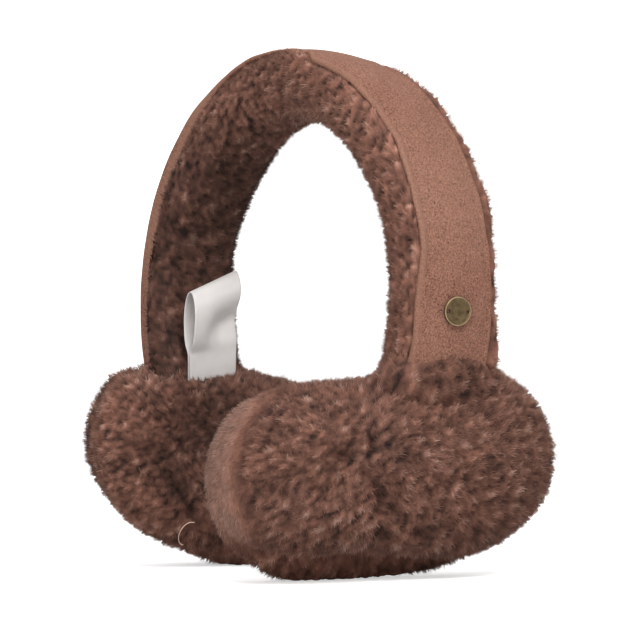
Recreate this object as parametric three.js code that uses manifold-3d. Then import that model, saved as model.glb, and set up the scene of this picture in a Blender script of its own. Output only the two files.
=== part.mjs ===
// Sheepskin earmuffs: a suede headband lined with wool fleece, and two oval fleece ear pads that
// it runs into. Each pad is an outer and an inner fleece panel that meet at a seam. A round brass
// badge sits on one leg of the band, and a folded satin label comes out of the top of the other pad.
// Millimetres, +Z up. The earmuffs stand on their pads at z = 0, with the crown of the band above.
// +X is the badge's side, and the wearer looks along -Y.
import * as THREE from "three";
import { mergeVertices } from "three/addons/utils/BufferGeometryUtils.js";
import Module from "manifold-3d";

const wasm = await Module();
wasm.setup();

const { Vector3, Matrix4 } = THREE;
const degrees = THREE.MathUtils.degToRad;
const Y_AXIS = new Vector3(0, 1, 0);

// Turn from one lock of wool to the next
const goldenTurn = degrees(137.5);

// Gap left between neighbouring pieces, and the wider one round the lining's pile in the pads
const gap = 0.3;
const pileGap = 0.9;

// Headband: an arch that is an ellipse in the X-Z plane, measured on the suede's outer face
const crownHeight = 200;
const bandHalfSpan = 82;
const bandRise = 93;
const bandWidth = 34;
const bandEndAngle = degrees(122);
const bandSteps = 28;
const legTwist = degrees(15);

// Suede cover of the band: a strip whose two long edges fold down over the fleece
const suedeWall = 1.5;
const suedeEdgeRadius = 3.2;
const suedeCrowning = 1.2;
const suedeFold = 6.5;
const suedeFoldAtCrown = 4.6;

// Fleece lining of the band, from the suede's outer face to the wool's inner surface
const liningDepthAtCrown = 27.5;
const liningDepthAtLeg = 24;
const liningOverhang = 5;
const liningLockLength = 2.6;
const liningLockWidth = 9;
const liningLockRows = 13;
const liningLockRowSpots = [-0.92, -0.48, 0, 0.48, 0.92];
const liningLockShift = degrees(2.2);
const liningDrawnInInPads = 0.4;
const pileSquareness = 0.6;

// Half outline of the lining's pile, from its middle to its shoulder: shares of its half width,
// and of its depth below the shoulder
const pileOutline = [
  { out: 0, down: 1 },
  { out: 0.55, down: 0.96 },
  { out: 0.9, down: 0.75 },
  { out: 1, down: 0.5 },
  { out: 0.88, down: 0 },
];
// Angle from the crown at which a leg goes into its pad
const insertedAngle = degrees(109);

// Ear pads: half length, half height, and thickness of each panel from the seam
const padHalfLength = 70;
const padHalfHeight = 43.5;
const padOuterThickness = 29;
const padInnerThickness = 29;
const padSeamPull = 2.4;
const padSeamPullReach = 7;
const padOutlinePower = 2.3;
const padDomePower = 2.5;
const padLockLength = 3;
const padLockWidth = 10;
const padLockLean = 0.25;
const padYaw = degrees(18);
const padCant = degrees(6);
const padSides = 22;
const padClimbs = [0, 10, 26, 44, 62, 78];

// Locks in rings round a panel: how far the ring has climbed from the seam to the middle of the
// face, in degrees, and how many locks are in it
const padLockRings = [
  { climb: 13, count: 15 },
  { climb: 36, count: 12 },
  { climb: 58, count: 8 },
  { climb: 76, count: 3 },
];

// Where each pad's middle lies from the band's middle plane, how far its long axis is tipped, and
// how much of the pile under it is pressed flat by the floor
const padCentreOut = 51;
const rightPad = { side: 1, name: "pad_right", along: -8, tip: degrees(8), sole: 5.5 };
const leftPad = { side: -1, name: "pad_left", along: 10, tip: degrees(21), sole: 8 };

// Shoulder of fleece that each pad has round the foot of its leg: half sizes, and its middle's
// angle down the band and depth below the suede
const shoulderAcross = 27;
const shoulderOut = 15;
const shoulderHigh = 19;
const shoulderAngle = degrees(114);
const shoulderDepth = 9;
const shoulderSides = 12;
const shoulderLocks = 5;
const shoulderLockClimb = degrees(38);

// Badge: a round plate with two thread holes, lying on the suede of the right leg
const badgeDiameter = 10.6;
const badgeThickness = 1.1;
const badgeHoleDiameter = 1.5;
const badgeHoleSpacing = 7.6;
const badgeAngle = degrees(96.5);
const badgeAcross = -1.3;
const badgeTilt = degrees(6);
const badgeCurveSteps = 10;

// Care label: a ribbon folded into a loop, standing out of the left pad beside the lining
const labelWidth = 20;
const labelHeight = 37;
const labelWall = 1;
const labelLoopGap = 7;
const labelClosedHeight = 9;
const labelSlant = degrees(24);
const labelLean = degrees(3);
const labelAngle = degrees(117);
const labelFromLining = 0.9;
const labelAlong = -1;

// Half outline of the label's loop, from its foot to its fold: shares of half width and height
const labelOutline = [
  { wide: 0.62, high: 0.38 },
  { wide: 1, high: 0.68 },
  { wide: 0.86, high: 0.86 },
  { wide: 0.45, high: 0.965 },
  { wide: 0, high: 1 },
];

// Colours of the finished pieces
const suedeColour = 0xa37767;
const fleeceColour = 0x7d6257;
const brassColour = 0x6f6446;
const labelColour = 0xdedbd9;

// A closed surface through rings of points, with flat ends. Each ring runs the same way round.
function loft(rings) {
  const count = rings[0].length;
  const positions = rings.flat().flatMap((point) => point.toArray());
  const faces = [];
  for (let i = 0; i + 1 < rings.length; i++)
    for (let j = 0; j < count; j++) {
      const next = (j + 1) % count;
      const a = i * count + j;
      const b = i * count + next;
      faces.push(a, b, b + count, a, b + count, a + count);
    }
  const flatten = (ring) => {
    const side = ring[1].clone().sub(ring[0]).normalize();
    const normal = new Vector3();
    ring.forEach((point, k) => normal.add(point.clone().cross(ring[(k + 1) % count])));
    normal.normalize();
    const up = normal.clone().cross(side);
    return ring.map((point) => new THREE.Vector2(point.dot(side), point.dot(up)));
  };
  const last = (rings.length - 1) * count;
  for (const [a, b, c] of THREE.ShapeUtils.triangulateShape(flatten(rings[0]), []))
    faces.push(c, b, a);
  for (const [a, b, c] of THREE.ShapeUtils.triangulateShape(flatten(rings.at(-1)), []))
    faces.push(last + a, last + b, last + c);
  const geometry = new THREE.BufferGeometry();
  geometry.setAttribute("position", new THREE.Float32BufferAttribute(positions, 3));
  geometry.setIndex(faces);
  return geometry;
}

// A closed three.js geometry as a solid that can be joined and cut
function solid(geometry) {
  const plain = new THREE.BufferGeometry();
  plain.setAttribute("position", geometry.getAttribute("position").clone());
  if (geometry.index) plain.setIndex(geometry.index.clone());
  const merged = mergeVertices(plain, 1e-4);
  const mesh = new wasm.Mesh({
    numProp: 3,
    vertProperties: new Float32Array(merged.getAttribute("position").array),
    triVerts: new Uint32Array(merged.index.array),
  });
  return new wasm.Manifold(mesh);
}

// A solid back as a three.js mesh, flat shaded, under its node's name
function piece(made, name, colour, roughness, metalness = 0) {
  const { numProp, vertProperties, triVerts } = made.getMesh();
  const points = new Float32Array((vertProperties.length / numProp) * 3);
  for (let i = 0; i < points.length / 3; i++)
    for (let k = 0; k < 3; k++) points[3 * i + k] = vertProperties[numProp * i + k];
  const geometry = new THREE.BufferGeometry();
  geometry.setAttribute("position", new THREE.BufferAttribute(points, 3));
  geometry.setIndex([...triVerts]);
  geometry.computeVertexNormals();
  const material = new THREE.MeshStandardMaterial({
    color: colour,
    roughness,
    metalness,
    flatShading: true,
  });
  const mesh = new THREE.Mesh(geometry, material);
  mesh.name = name;
  return mesh;
}

// Band: a point of its outer face, the way out of it and the way across it, at an angle from
// the crown. The legs turn a little about their own length, the same way round at both ends.
function bandFrame(angle) {
  const centre = new Vector3(
    bandHalfSpan * Math.sin(angle),
    0,
    crownHeight - bandRise * (1 - Math.cos(angle)),
  );
  const normal = new Vector3(
    bandRise * Math.sin(angle),
    0,
    bandHalfSpan * Math.cos(angle),
  ).normalize();
  const turn = legTwist * Math.sign(angle) * (angle / bandEndAngle) ** 2;
  const out = normal
    .clone()
    .multiplyScalar(Math.cos(turn))
    .addScaledVector(Y_AXIS, -Math.sin(turn));
  const across = Y_AXIS.clone()
    .multiplyScalar(Math.cos(turn))
    .addScaledVector(normal, Math.sin(turn));
  return { centre, out, across };
}

const onBand = ({ centre, out, across }, [sideways, depth]) =>
  centre.clone().addScaledVector(across, sideways).addScaledVector(out, -depth);

const crownShare = (angle) => Math.max(0, Math.cos(angle)) ** 2;

const liningDepth = (angle) =>
  liningDepthAtLeg + (liningDepthAtCrown - liningDepthAtLeg) * crownShare(angle);

const suedeFoldDepth = (angle) =>
  suedeFold + (suedeFoldAtCrown - suedeFold) * crownShare(angle);

// Half of the suede's outer outline as [sideways, depth], from the folded edge to the middle
function suedeHalf(inset, foldDepth) {
  const half = bandWidth / 2 - inset;
  const radius = suedeEdgeRadius - inset;
  const points = [[half, foldDepth]];
  for (const turn of [0, 45, 90]) {
    const a = degrees(turn);
    points.push([
      half - radius * (1 - Math.cos(a)),
      suedeCrowning + inset + radius * (1 - Math.sin(a)),
    ]);
  }
  points.push([0, inset]);
  return points;
}

const mirrored = (half) => [
  ...half,
  ...half
    .slice(0, -1)
    .reverse()
    .map(([sideways, depth]) => [-sideways, depth]),
];

// Suede cover: a channel, open towards the fleece
function suedeSection(angle) {
  const fold = suedeFoldDepth(angle);
  const outer = mirrored(suedeHalf(0, fold));
  const inner = mirrored(suedeHalf(suedeWall, fold)).reverse();
  return [...outer, ...inner];
}

// Fleece lining, or the room for it: a neck inside the suede's channel and a rounded pile below
// it. The pile stands off its full size by one amount, and its shoulder off the suede by another.
function liningOutline(angle, pileOff, neckInset, shoulderOff) {
  const shoulder = suedeFoldDepth(angle) + shoulderOff;
  const half = bandWidth / 2 + liningOverhang + pileOff;
  const depth = liningDepth(angle) + pileOff;
  const pile = pileOutline.map(({ out, down }) => [
    half * out,
    shoulder + (depth - shoulder) * down,
  ]);
  return mirrored([...pile, ...suedeHalf(neckInset, shoulder)]).slice(0, -1);
}

const spread = (steps, end) =>
  Array.from({ length: steps + 1 }, (_, i) => -end + (2 * end * i) / steps);
const bandAngles = spread(bandSteps, bandEndAngle);

const sweepBand = (angles, sectionAt) =>
  solid(
    loft(
      angles.map((angle) => {
        const frame = bandFrame(angle);
        return sectionAt(angle).map((spot) => onBand(frame, spot));
      }),
    ),
  );

// A lock of wool: a broad tuft that stands on a point and leans. Half of its height is sunk.
function lock(root, direction, width, length, spin) {
  const geometry = new THREE.ConeGeometry(width, 2 * length, 4, 1);
  geometry.rotateY(spin * goldenTurn);
  const turn = new THREE.Quaternion().setFromUnitVectors(Y_AXIS, direction);
  geometry.applyMatrix4(new Matrix4().compose(root, turn, new Vector3(1, 1, 1)));
  return solid(geometry);
}

// Ear pad frame: the middle of its seam plane, with its own long, high and outward axes
function padFrame({ side, along, tip, sole }) {
  const level = new Vector3(side * Math.sin(padYaw), side * Math.cos(padYaw), 0);
  const flat = new Vector3(side * Math.cos(padYaw), -side * Math.sin(padYaw), 0);
  const up = new Vector3(0, 0, 1);
  const outward = flat
    .clone()
    .multiplyScalar(Math.cos(padCant))
    .addScaledVector(up, Math.sin(padCant));
  const high = up
    .clone()
    .multiplyScalar(Math.cos(padCant))
    .addScaledVector(flat, -Math.sin(padCant));
  const long = level.clone().multiplyScalar(Math.cos(tip)).addScaledVector(high, Math.sin(tip));
  const tall = high.clone().multiplyScalar(Math.cos(tip)).addScaledVector(level, -Math.sin(tip));
  const reach = Math.hypot(padHalfHeight * Math.cos(tip), padHalfLength * Math.sin(tip));
  const centre = new Vector3(side * padCentreOut, along, reach - sole);
  return { centre, long, tall, outward };
}

const power = (value, exponent) => Math.sign(value) * Math.abs(value) ** exponent;

// A point of a panel's domed face: round is the angle round the pad, and climb goes from 0 at
// the seam to 90 degrees at the middle of the face.
function domePoint(round, climb, thickness, drawnIn) {
  const rise = thickness * Math.sin(climb) ** (2 / padDomePower);
  const pull = padSeamPull * Math.exp(-((rise / padSeamPullReach) ** 2));
  const width = Math.cos(climb) ** (2 / padDomePower);
  const drawn = drawnIn + pull;
  const long = (padHalfLength - drawn) * width * power(Math.cos(round), 2 / padOutlinePower);
  const tall = (padHalfHeight - drawn) * width * power(Math.sin(round), 2 / padOutlinePower);
  return { long, tall, rise: (rise * (thickness - drawnIn)) / thickness };
}

const onPad = (frame, facing, { long, tall, rise }) =>
  frame.centre
    .clone()
    .addScaledVector(frame.long, long)
    .addScaledVector(frame.tall, tall)
    .addScaledVector(frame.outward, facing * rise);

// Backing of a panel: a dome on the seam plane
function padBacking(frame, facing, thickness) {
  const rings = padClimbs.map((climb) =>
    Array.from({ length: padSides }, (_, i) => {
      const round = (2 * Math.PI * (i + 0.5)) / padSides;
      return onPad(frame, facing, domePoint(round, degrees(climb), thickness, padLockLength));
    }),
  );
  if (facing < 0) rings.reverse();
  return solid(loft(rings));
}

// Locks all over a panel, each leaning away from the middle of its face
function padLocks(frame, facing, thickness) {
  const step = degrees(0.5);
  return padLockRings.flatMap(({ climb, count }, row) =>
    Array.from({ length: count }, (_, i) => {
      const round = (2 * Math.PI * (i + (row % 2) / 2 + 0.2)) / count;
      const at = (r, c) => onPad(frame, facing, domePoint(r, c, thickness, padLockLength));
      const root = at(round, degrees(climb));
      const alongRim = at(round + step, degrees(climb)).sub(root);
      const inward = at(round, degrees(climb) + step).sub(root);
      const normal = alongRim.clone().cross(inward).normalize();
      if (normal.dot(root.clone().sub(frame.centre)) < 0) normal.negate();
      const lean = normal.addScaledVector(inward.normalize(), -padLockLean).normalize();
      return lock(root, lean, padLockWidth, padLockLength, i + row);
    }),
  );
}

// The shoulder round a leg's foot, with locks on its outer face, before the leg's room is cut
function padShoulder(side) {
  const leg = bandFrame(side * shoulderAngle);
  const up = leg.out.clone().cross(leg.across);
  const place = new Matrix4().makeBasis(leg.across, up, leg.out);
  place.setPosition(onBand(leg, [0, shoulderDepth]));
  const body = new THREE.SphereGeometry(1, shoulderSides, Math.round((shoulderSides * 2) / 3));
  body.scale(shoulderAcross, shoulderHigh, shoulderOut);
  body.applyMatrix4(place);
  const locks = Array.from({ length: shoulderLocks }, (_, i) => {
    const round = (2 * Math.PI * i) / shoulderLocks;
    const direction = new Vector3(
      Math.cos(round) * Math.cos(shoulderLockClimb),
      Math.sin(round) * Math.cos(shoulderLockClimb),
      Math.sin(shoulderLockClimb),
    );
    const root = direction.clone().multiply(new Vector3(shoulderAcross, shoulderHigh, shoulderOut));
    const turned = direction.transformDirection(place);
    return lock(root.applyMatrix4(place), turned, padLockWidth, padLockLength, i);
  });
  return join([solid(body), ...locks]);
}

const join = (solids) => solids.reduce((whole, one) => whole.add(one));

function boxSolid(size, centre, axes) {
  const geometry = new THREE.BoxGeometry(...size);
  geometry.applyMatrix4(new Matrix4().makeBasis(...axes).setPosition(centre));
  return solid(geometry);
}

// Everything far below the floor, and everything behind a pad's seam
const wide = 4 * padHalfLength;
const worldAxes = [new Vector3(1, 0, 0), new Vector3(0, 1, 0), new Vector3(0, 0, 1)];
const belowFloor = boxSolid(
  [2 * wide, 2 * wide, wide],
  new Vector3(0, 0, -wide / 2),
  worldAxes,
);

function behindSeam(frame, facing) {
  const centre = frame.centre
    .clone()
    .addScaledVector(frame.outward, -facing * (wide / 2 - gap / 2));
  return boxSolid([wide, wide, wide], centre, [frame.long, frame.tall, frame.outward]);
}

// The room that the band's legs take inside the pads, with the gaps round them
function bandRoom() {
  const end = bandEndAngle + (2 * gap) / bandHalfSpan;
  return sweepBand([-end, ...bandAngles, end], (angle) => liningOutline(angle, pileGap, -gap, 0));
}

// Care label: a loop with its foot at the origin, x towards the band's middle, y up, and the
// ribbon's width along z. Grown, it is the room for the label, without the loop's opening.
function labelLoop(grown) {
  const half = labelLoopGap / 2 + labelWall;
  const outline = (inset, foot) => {
    const side = labelOutline.map(({ wide, high }) => [
      wide * (half - inset),
      high * (labelHeight - inset),
    ]);
    const mirrorSide = side.slice(0, -1).reverse();
    return [...foot, ...side, ...mirrorSide.map(([x, y]) => [-x, y])].map(
      ([x, y]) => new THREE.Vector2(x, y),
    );
  };
  const footHalf = labelWall + grown;
  const shape = new THREE.Shape(
    outline(-grown, [
      [-footHalf, -grown],
      [footHalf, -grown],
    ]),
  );
  if (!grown) shape.holes.push(new THREE.Path(outline(labelWall, [[0, labelClosedHeight]])));
  const geometry = new THREE.ExtrudeGeometry(shape, {
    depth: labelWidth + 2 * grown,
    bevelEnabled: false,
  });
  return geometry.translate(0, 0, -labelWidth / 2 - grown);
}

function labelSolid(grown) {
  const angle = -labelAngle;
  const { centre, out, across } = bandFrame(angle);
  const fromSuede = liningDepth(angle) + labelFromLining + labelWall + labelLoopGap / 2;
  const foot = centre.clone().addScaledVector(out, -fromSuede).addScaledVector(across, labelAlong);
  const inwards = new Vector3(-out.x, -out.y, 0).normalize();
  const upwards = new Vector3(0, 0, 1).addScaledVector(inwards, Math.sin(labelLean)).normalize();
  const sideways = inwards.clone().cross(upwards);
  const geometry = labelLoop(grown);
  const slanted = new Matrix4().makeShear(0, 0, 0, 0, 0, -Math.tan(labelSlant));
  geometry.applyMatrix4(slanted);
  geometry.applyMatrix4(new Matrix4().makeBasis(inwards, upwards, sideways).setPosition(foot));
  return solid(geometry);
}

// Suede cover of the band
const suede = sweepBand(bandAngles, suedeSection);

// Fleece lining: the pile, with rows of locks where it shows
const liningDrawnIn = (angle) =>
  Math.abs(angle) > insertedAngle ? liningDrawnInInPads : liningLockLength;

function liningLocks() {
  const lastRow = insertedAngle - 2 * liningLockShift;
  return spread(liningLockRows - 1, lastRow).flatMap((angle, row) =>
    liningLockRowSpots.map((share, column) => {
      const shifted = angle + liningLockShift * ((row + column) % 2 ? 1 : -1);
      const frame = bandFrame(shifted);
      const half = bandWidth / 2 + liningOverhang - liningLockLength;
      const depth = liningDepth(shifted) - liningLockLength;
      const shoulder = suedeFoldDepth(shifted) + gap;
      const turn = (share * Math.PI) / 2;
      const middle = (depth + shoulder) / 2;
      const root = onBand(frame, [
        half * power(Math.sin(turn), pileSquareness),
        middle + (depth - middle) * power(Math.cos(turn), pileSquareness),
      ]);
      const direction = frame.across
        .clone()
        .multiplyScalar(Math.sin(turn))
        .addScaledVector(frame.out, -Math.cos(turn))
        .normalize();
      return lock(root, direction, liningLockWidth, liningLockLength, row + column);
    }),
  );
}

const liningBacking = sweepBand(bandAngles, (angle) =>
  liningOutline(angle, -liningDrawnIn(angle), suedeWall + gap, gap),
);
const lining = join([liningBacking, ...liningLocks()]);

// Ear pads: panels with locks, pressed flat underneath, cut for the band and the label
const legRoom = bandRoom();
const labelRoom = labelSolid(gap);

const panels = [rightPad, leftPad].flatMap((pad) => {
  const frame = padFrame(pad);
  const sides = [
    { facing: 1, thickness: padOuterThickness, name: `${pad.name}_outer` },
    { facing: -1, thickness: padInnerThickness, name: `${pad.name}_inner` },
  ];
  return sides.map(({ facing, thickness, name }) => {
    let panel = join([
      padBacking(frame, facing, thickness),
      padShoulder(pad.side),
      ...padLocks(frame, facing, thickness),
    ]);
    panel = panel.subtract(behindSeam(frame, facing)).subtract(belowFloor).subtract(legRoom);
    if (pad.side < 0) panel = panel.subtract(labelRoom);
    return piece(panel, name, fleeceColour, 0.95);
  });
});

// Badge: a plate with two holes, lying flat on the suede
function badge() {
  const frame = bandFrame(badgeAngle);
  const plate = new THREE.Shape().absarc(0, 0, badgeDiameter / 2, 0, 2 * Math.PI);
  for (const side of [-1, 1]) {
    const hole = new THREE.Path();
    hole.absarc((side * badgeHoleSpacing) / 2, 0, badgeHoleDiameter / 2, 0, 2 * Math.PI, true);
    plate.holes.push(hole);
  }
  const geometry = new THREE.ExtrudeGeometry(plate, {
    depth: badgeThickness,
    bevelEnabled: false,
    curveSegments: badgeCurveSteps,
  });
  const lift = (badgeDiameter / 2) * Math.sin(badgeTilt);
  const seat = onBand(frame, [badgeAcross, -gap - lift]);
  const upLeg = frame.out.clone().cross(frame.across);
  geometry.rotateY(-badgeTilt);
  geometry.applyMatrix4(new Matrix4().makeBasis(frame.across, upLeg, frame.out).setPosition(seat));
  return solid(geometry);
}

const earmuffs = new THREE.Group();
earmuffs.add(
  piece(suede, "suede_band", suedeColour, 0.9),
  piece(lining, "band_fleece_lining", fleeceColour, 0.95),
  ...panels,
  piece(badge(), "badge", brassColour, 0.45, 0.9),
  piece(labelSolid(0), "care_label", labelColour, 0.6),
);

export default earmuffs;
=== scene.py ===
"""Sheepskin earmuffs: a suede headband lined with fleece, two fleece ear pads, a badge and a label.

Each sub-assembly is a class. Sizes are in millimetres until a mesh is made, and a finished piece
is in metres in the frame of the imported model.
"""

import logging
import math
from collections.abc import Callable, Sequence
from dataclasses import dataclass
from enum import Enum

import bmesh
import bpy
import numpy as np
from mathutils import Matrix, Vector


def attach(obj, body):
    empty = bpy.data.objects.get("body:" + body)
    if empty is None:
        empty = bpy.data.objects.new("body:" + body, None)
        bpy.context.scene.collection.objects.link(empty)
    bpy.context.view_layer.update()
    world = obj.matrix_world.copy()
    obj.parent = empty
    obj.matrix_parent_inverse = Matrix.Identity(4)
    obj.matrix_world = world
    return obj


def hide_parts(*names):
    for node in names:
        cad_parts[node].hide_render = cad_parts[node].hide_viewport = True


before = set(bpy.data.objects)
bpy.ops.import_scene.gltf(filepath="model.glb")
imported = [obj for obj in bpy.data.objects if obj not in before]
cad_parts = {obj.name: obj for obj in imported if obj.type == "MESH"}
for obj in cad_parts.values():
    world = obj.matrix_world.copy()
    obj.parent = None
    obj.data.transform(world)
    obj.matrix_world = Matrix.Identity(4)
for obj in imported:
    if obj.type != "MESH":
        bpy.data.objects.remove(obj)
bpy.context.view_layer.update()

MM = 0.001
POINTS_AT_ONCE = 20000
SURFACE_MAP = "Surface"

# The bake map: the sheet lies below, the faces that close holes in a row above it, then the strands
BAKE_MAP = "OFBake"
MAP_MARGIN = 0.01
SHEET_CHART = (0.98, 0.42)
HOLES_CHART = (0.434, 0.446)
STRANDS_CHART = (0.45, 0.54)

log = logging.getLogger("earmuffs")
Array = np.ndarray


class Side(Enum):
    """Which leg of the band or which ear pad, by its sign along X."""

    RIGHT = 1
    LEFT = -1


class Facing(Enum):
    """Which panel of an ear pad, by its sign along the way out of the pad."""

    OUTER = 1
    INNER = -1


def unit(vectors: Array) -> Array:
    """Scales vectors to length one.

    Args:
        vectors: One vector in each row.

    Returns:
        The unit vectors.
    """
    length = np.linalg.norm(vectors, axis=-1, keepdims=True)
    return vectors / np.maximum(length, 1e-9)


def smoothstep(low: float, high: float, value: Array) -> Array:
    """Rises smoothly from 0 at low to 1 at high.

    Args:
        low: Where the rise starts.
        high: Where it ends.
        value: Where to take it.

    Returns:
        The share of the rise, from 0 to 1.
    """
    share = np.clip((value - low) / (high - low), 0.0, 1.0)
    return share * share * (3.0 - 2.0 * share)


def turn_between(angle: Array, other: float) -> Array:
    """The shorter turn from one angle to others, from minus half a turn to half a turn."""
    return np.angle(np.exp(1j * (angle - other)))


def soft_noise(points: Array, size: float, seed: int) -> Array:
    """Smooth noise made of a few crossed waves.

    Args:
        points: Places in millimetres, one in each row.
        size: Rough size of one lump in millimetres.
        seed: Picks the waves.

    Returns:
        Values from about -1 to 1.
    """
    rng = np.random.default_rng(seed)
    total = np.zeros(len(points))
    for _ in range(9):
        way = unit(rng.normal(size=3)) * (math.pi / size) * rng.uniform(0.6, 1.4)
        total += np.sin(points @ way + rng.uniform(0, 2 * math.pi))
    return total / 4.5


@dataclass(frozen=True)
class Frames:
    """Places along the band: its outer face's middle, the way out of it and the way across it."""

    centre: Array
    out: Array
    across: Array

    def at(self, sideways: Array, depth: Array) -> Array:
        """Points beside and below the band's outer middle line."""
        return self.centre + self.across * sideways[..., None] - self.out * depth[..., None]


@dataclass(frozen=True)
class Band:
    """Sizes of the headband, shared by its suede, its fleece and what is sewn to it.

    pile_slack is how far inside the wool's outer face a point counts as held. stations is the
    number of places along the band where it is measured, and end_gap is an angle at each end
    that counts as its end.
    """

    crown_height: float = 200.0
    half_span: float = 82.0
    rise: float = 93.0
    width: float = 34.0
    end_angle: float = math.radians(122.0)
    leg_twist: float = math.radians(15.0)
    suede_wall: float = 1.4
    edge_radius: float = 3.2
    crowning: float = 1.2
    fold: float = 6.5
    fold_at_crown: float = 4.6
    depth_at_crown: float = 27.5
    depth_at_leg: float = 24.0
    overhang: float = 5.0
    pile_slack: float = 2.5
    end_gap: float = 0.02
    stations: int = 245

    def frames(self, angle: Array) -> Frames:
        """Places on the band's outer face.

        Args:
            angle: Angles from the crown, positive towards the right leg.

        Returns:
            The frames at those angles.
        """
        zero = np.zeros_like(angle)
        centre = np.stack(
            [
                self.half_span * np.sin(angle),
                zero,
                self.crown_height - self.rise * (1.0 - np.cos(angle)),
            ],
            -1,
        )
        normal = unit(np.stack([self.rise * np.sin(angle), zero, self.half_span * np.cos(angle)], -1))
        turn = (self.leg_twist * np.sign(angle) * (angle / self.end_angle) ** 2)[..., None]
        sideways = np.broadcast_to(np.array([0.0, 1.0, 0.0]), normal.shape)
        out = normal * np.cos(turn) - sideways * np.sin(turn)
        across = sideways * np.cos(turn) + normal * np.sin(turn)
        return Frames(centre, out, across)

    def crown_share(self, angle: Array) -> Array:
        """One at the crown, falling to nothing where the legs stand upright."""
        return np.clip(np.cos(angle), 0.0, 1.0) ** 2

    def pile_depth(self, angle: Array) -> Array:
        """Depth from the suede's outer face to the wool's inner surface."""
        return self.depth_at_leg + (self.depth_at_crown - self.depth_at_leg) * self.crown_share(angle)

    def fold_depth(self, angle: Array) -> Array:
        """How far the suede's edges fold down over the fleece."""
        return self.fold + (self.fold_at_crown - self.fold) * self.crown_share(angle)

    def locate(self, points: Array) -> tuple[Array, Array, Array]:
        """Finds points' places relative to the band.

        Args:
            points: Places in millimetres.

        Returns:
            The angle down the band, the distance sideways and the depth below its outer face.
        """
        angles = np.linspace(-self.end_angle, self.end_angle, self.stations)
        line = self.frames(angles)
        nearest = np.empty(len(points), int)
        for start in range(0, len(points), POINTS_AT_ONCE):
            part = points[start : start + POINTS_AT_ONCE]
            gap = part[:, None, ::2] - line.centre[None, :, ::2]
            nearest[start : start + POINTS_AT_ONCE] = np.argmin((gap**2).sum(-1), 1)
        offset = points - line.centre[nearest]
        sideways = (offset * line.across[nearest]).sum(-1)
        depth = -(offset * line.out[nearest]).sum(-1)
        return angles[nearest], sideways, depth

    def holds(self, points: Array, margin: float) -> Array:
        """Which points lie inside the suede or its fleece, or within a margin of them."""
        angle, sideways, depth = self.locate(points)
        end = self.frames(np.sign(angle) * self.end_angle)
        beyond = (points - end.centre)[:, 2] < -margin
        beyond &= np.abs(angle) > self.end_angle - self.end_gap
        in_suede = (np.abs(sideways) < self.width / 2 + margin) & (depth > -margin)
        in_suede &= depth < self.fold_depth(angle)
        half = self.width / 2 + self.overhang - self.pile_slack
        in_pile = (np.abs(sideways) < half + margin) & (depth >= self.fold_depth(angle))
        in_pile &= depth < self.pile_depth(angle) - self.pile_slack + margin
        return (in_suede | in_pile) & ~beyond


@dataclass(frozen=True)
class Dent:
    """A soft hollow pressed into a pad: its middle, its radius, and the way and depth it is pressed.

    It reaches one panel or both, and its last value paints the wool in it darker, as painted
    shading deep in the hollow.
    """

    middle: tuple[float, float, float]
    radius: float
    push: tuple[float, float, float]
    panel: Facing | None = None
    # How much darker the wool in the hollow is painted: painted shading
    painted_shade: float = 0.0

    def nearness(self, points: Array) -> Array:
        """One in the middle of the hollow, falling to nothing round it."""
        gap = np.linalg.norm(points - np.array(self.middle), axis=1) / self.radius
        return np.exp(-(gap**2))


@dataclass(frozen=True)
class Crease:
    """A parting in a pad's wool, between two places on its long and tall axes."""

    start: tuple[float, float]
    end: tuple[float, float]
    width: float = 2.0
    depth: float = 1.6

    def nearness(self, flat: Array) -> Array:
        """One on the crease, falling to nothing beside it."""
        start = np.array(self.start)
        run = np.array(self.end) - start
        share = np.clip((flat - start) @ run / (run @ run), 0.0, 1.0)
        gap = np.linalg.norm(flat - start - share[:, None] * run, axis=1)
        return np.exp(-((gap / self.width) ** 2))


@dataclass(frozen=True)
class PadPlace:
    """Where an ear pad sits: its side, and how it droops and turns.

    The seam rises round seam_turn, and each panel bulges on its side of it.
    """

    side: Side
    along: float
    tip: float
    sole: float
    seam_turn: float = 0.0
    seam_rise: float = 0.0
    dents: tuple[Dent, ...] = ()
    outer_creases: tuple[Crease, ...] = ()
    inner_creases: tuple[Crease, ...] = ()

    def pressed(self, points: Array, panel: Facing) -> Array:
        """How far the dents push each point of a panel."""
        moved = np.zeros_like(points)
        for dent in self.dents:
            if dent.panel in (None, panel):
                moved += dent.nearness(points)[:, None] * np.array(dent.push)
        return moved


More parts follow.
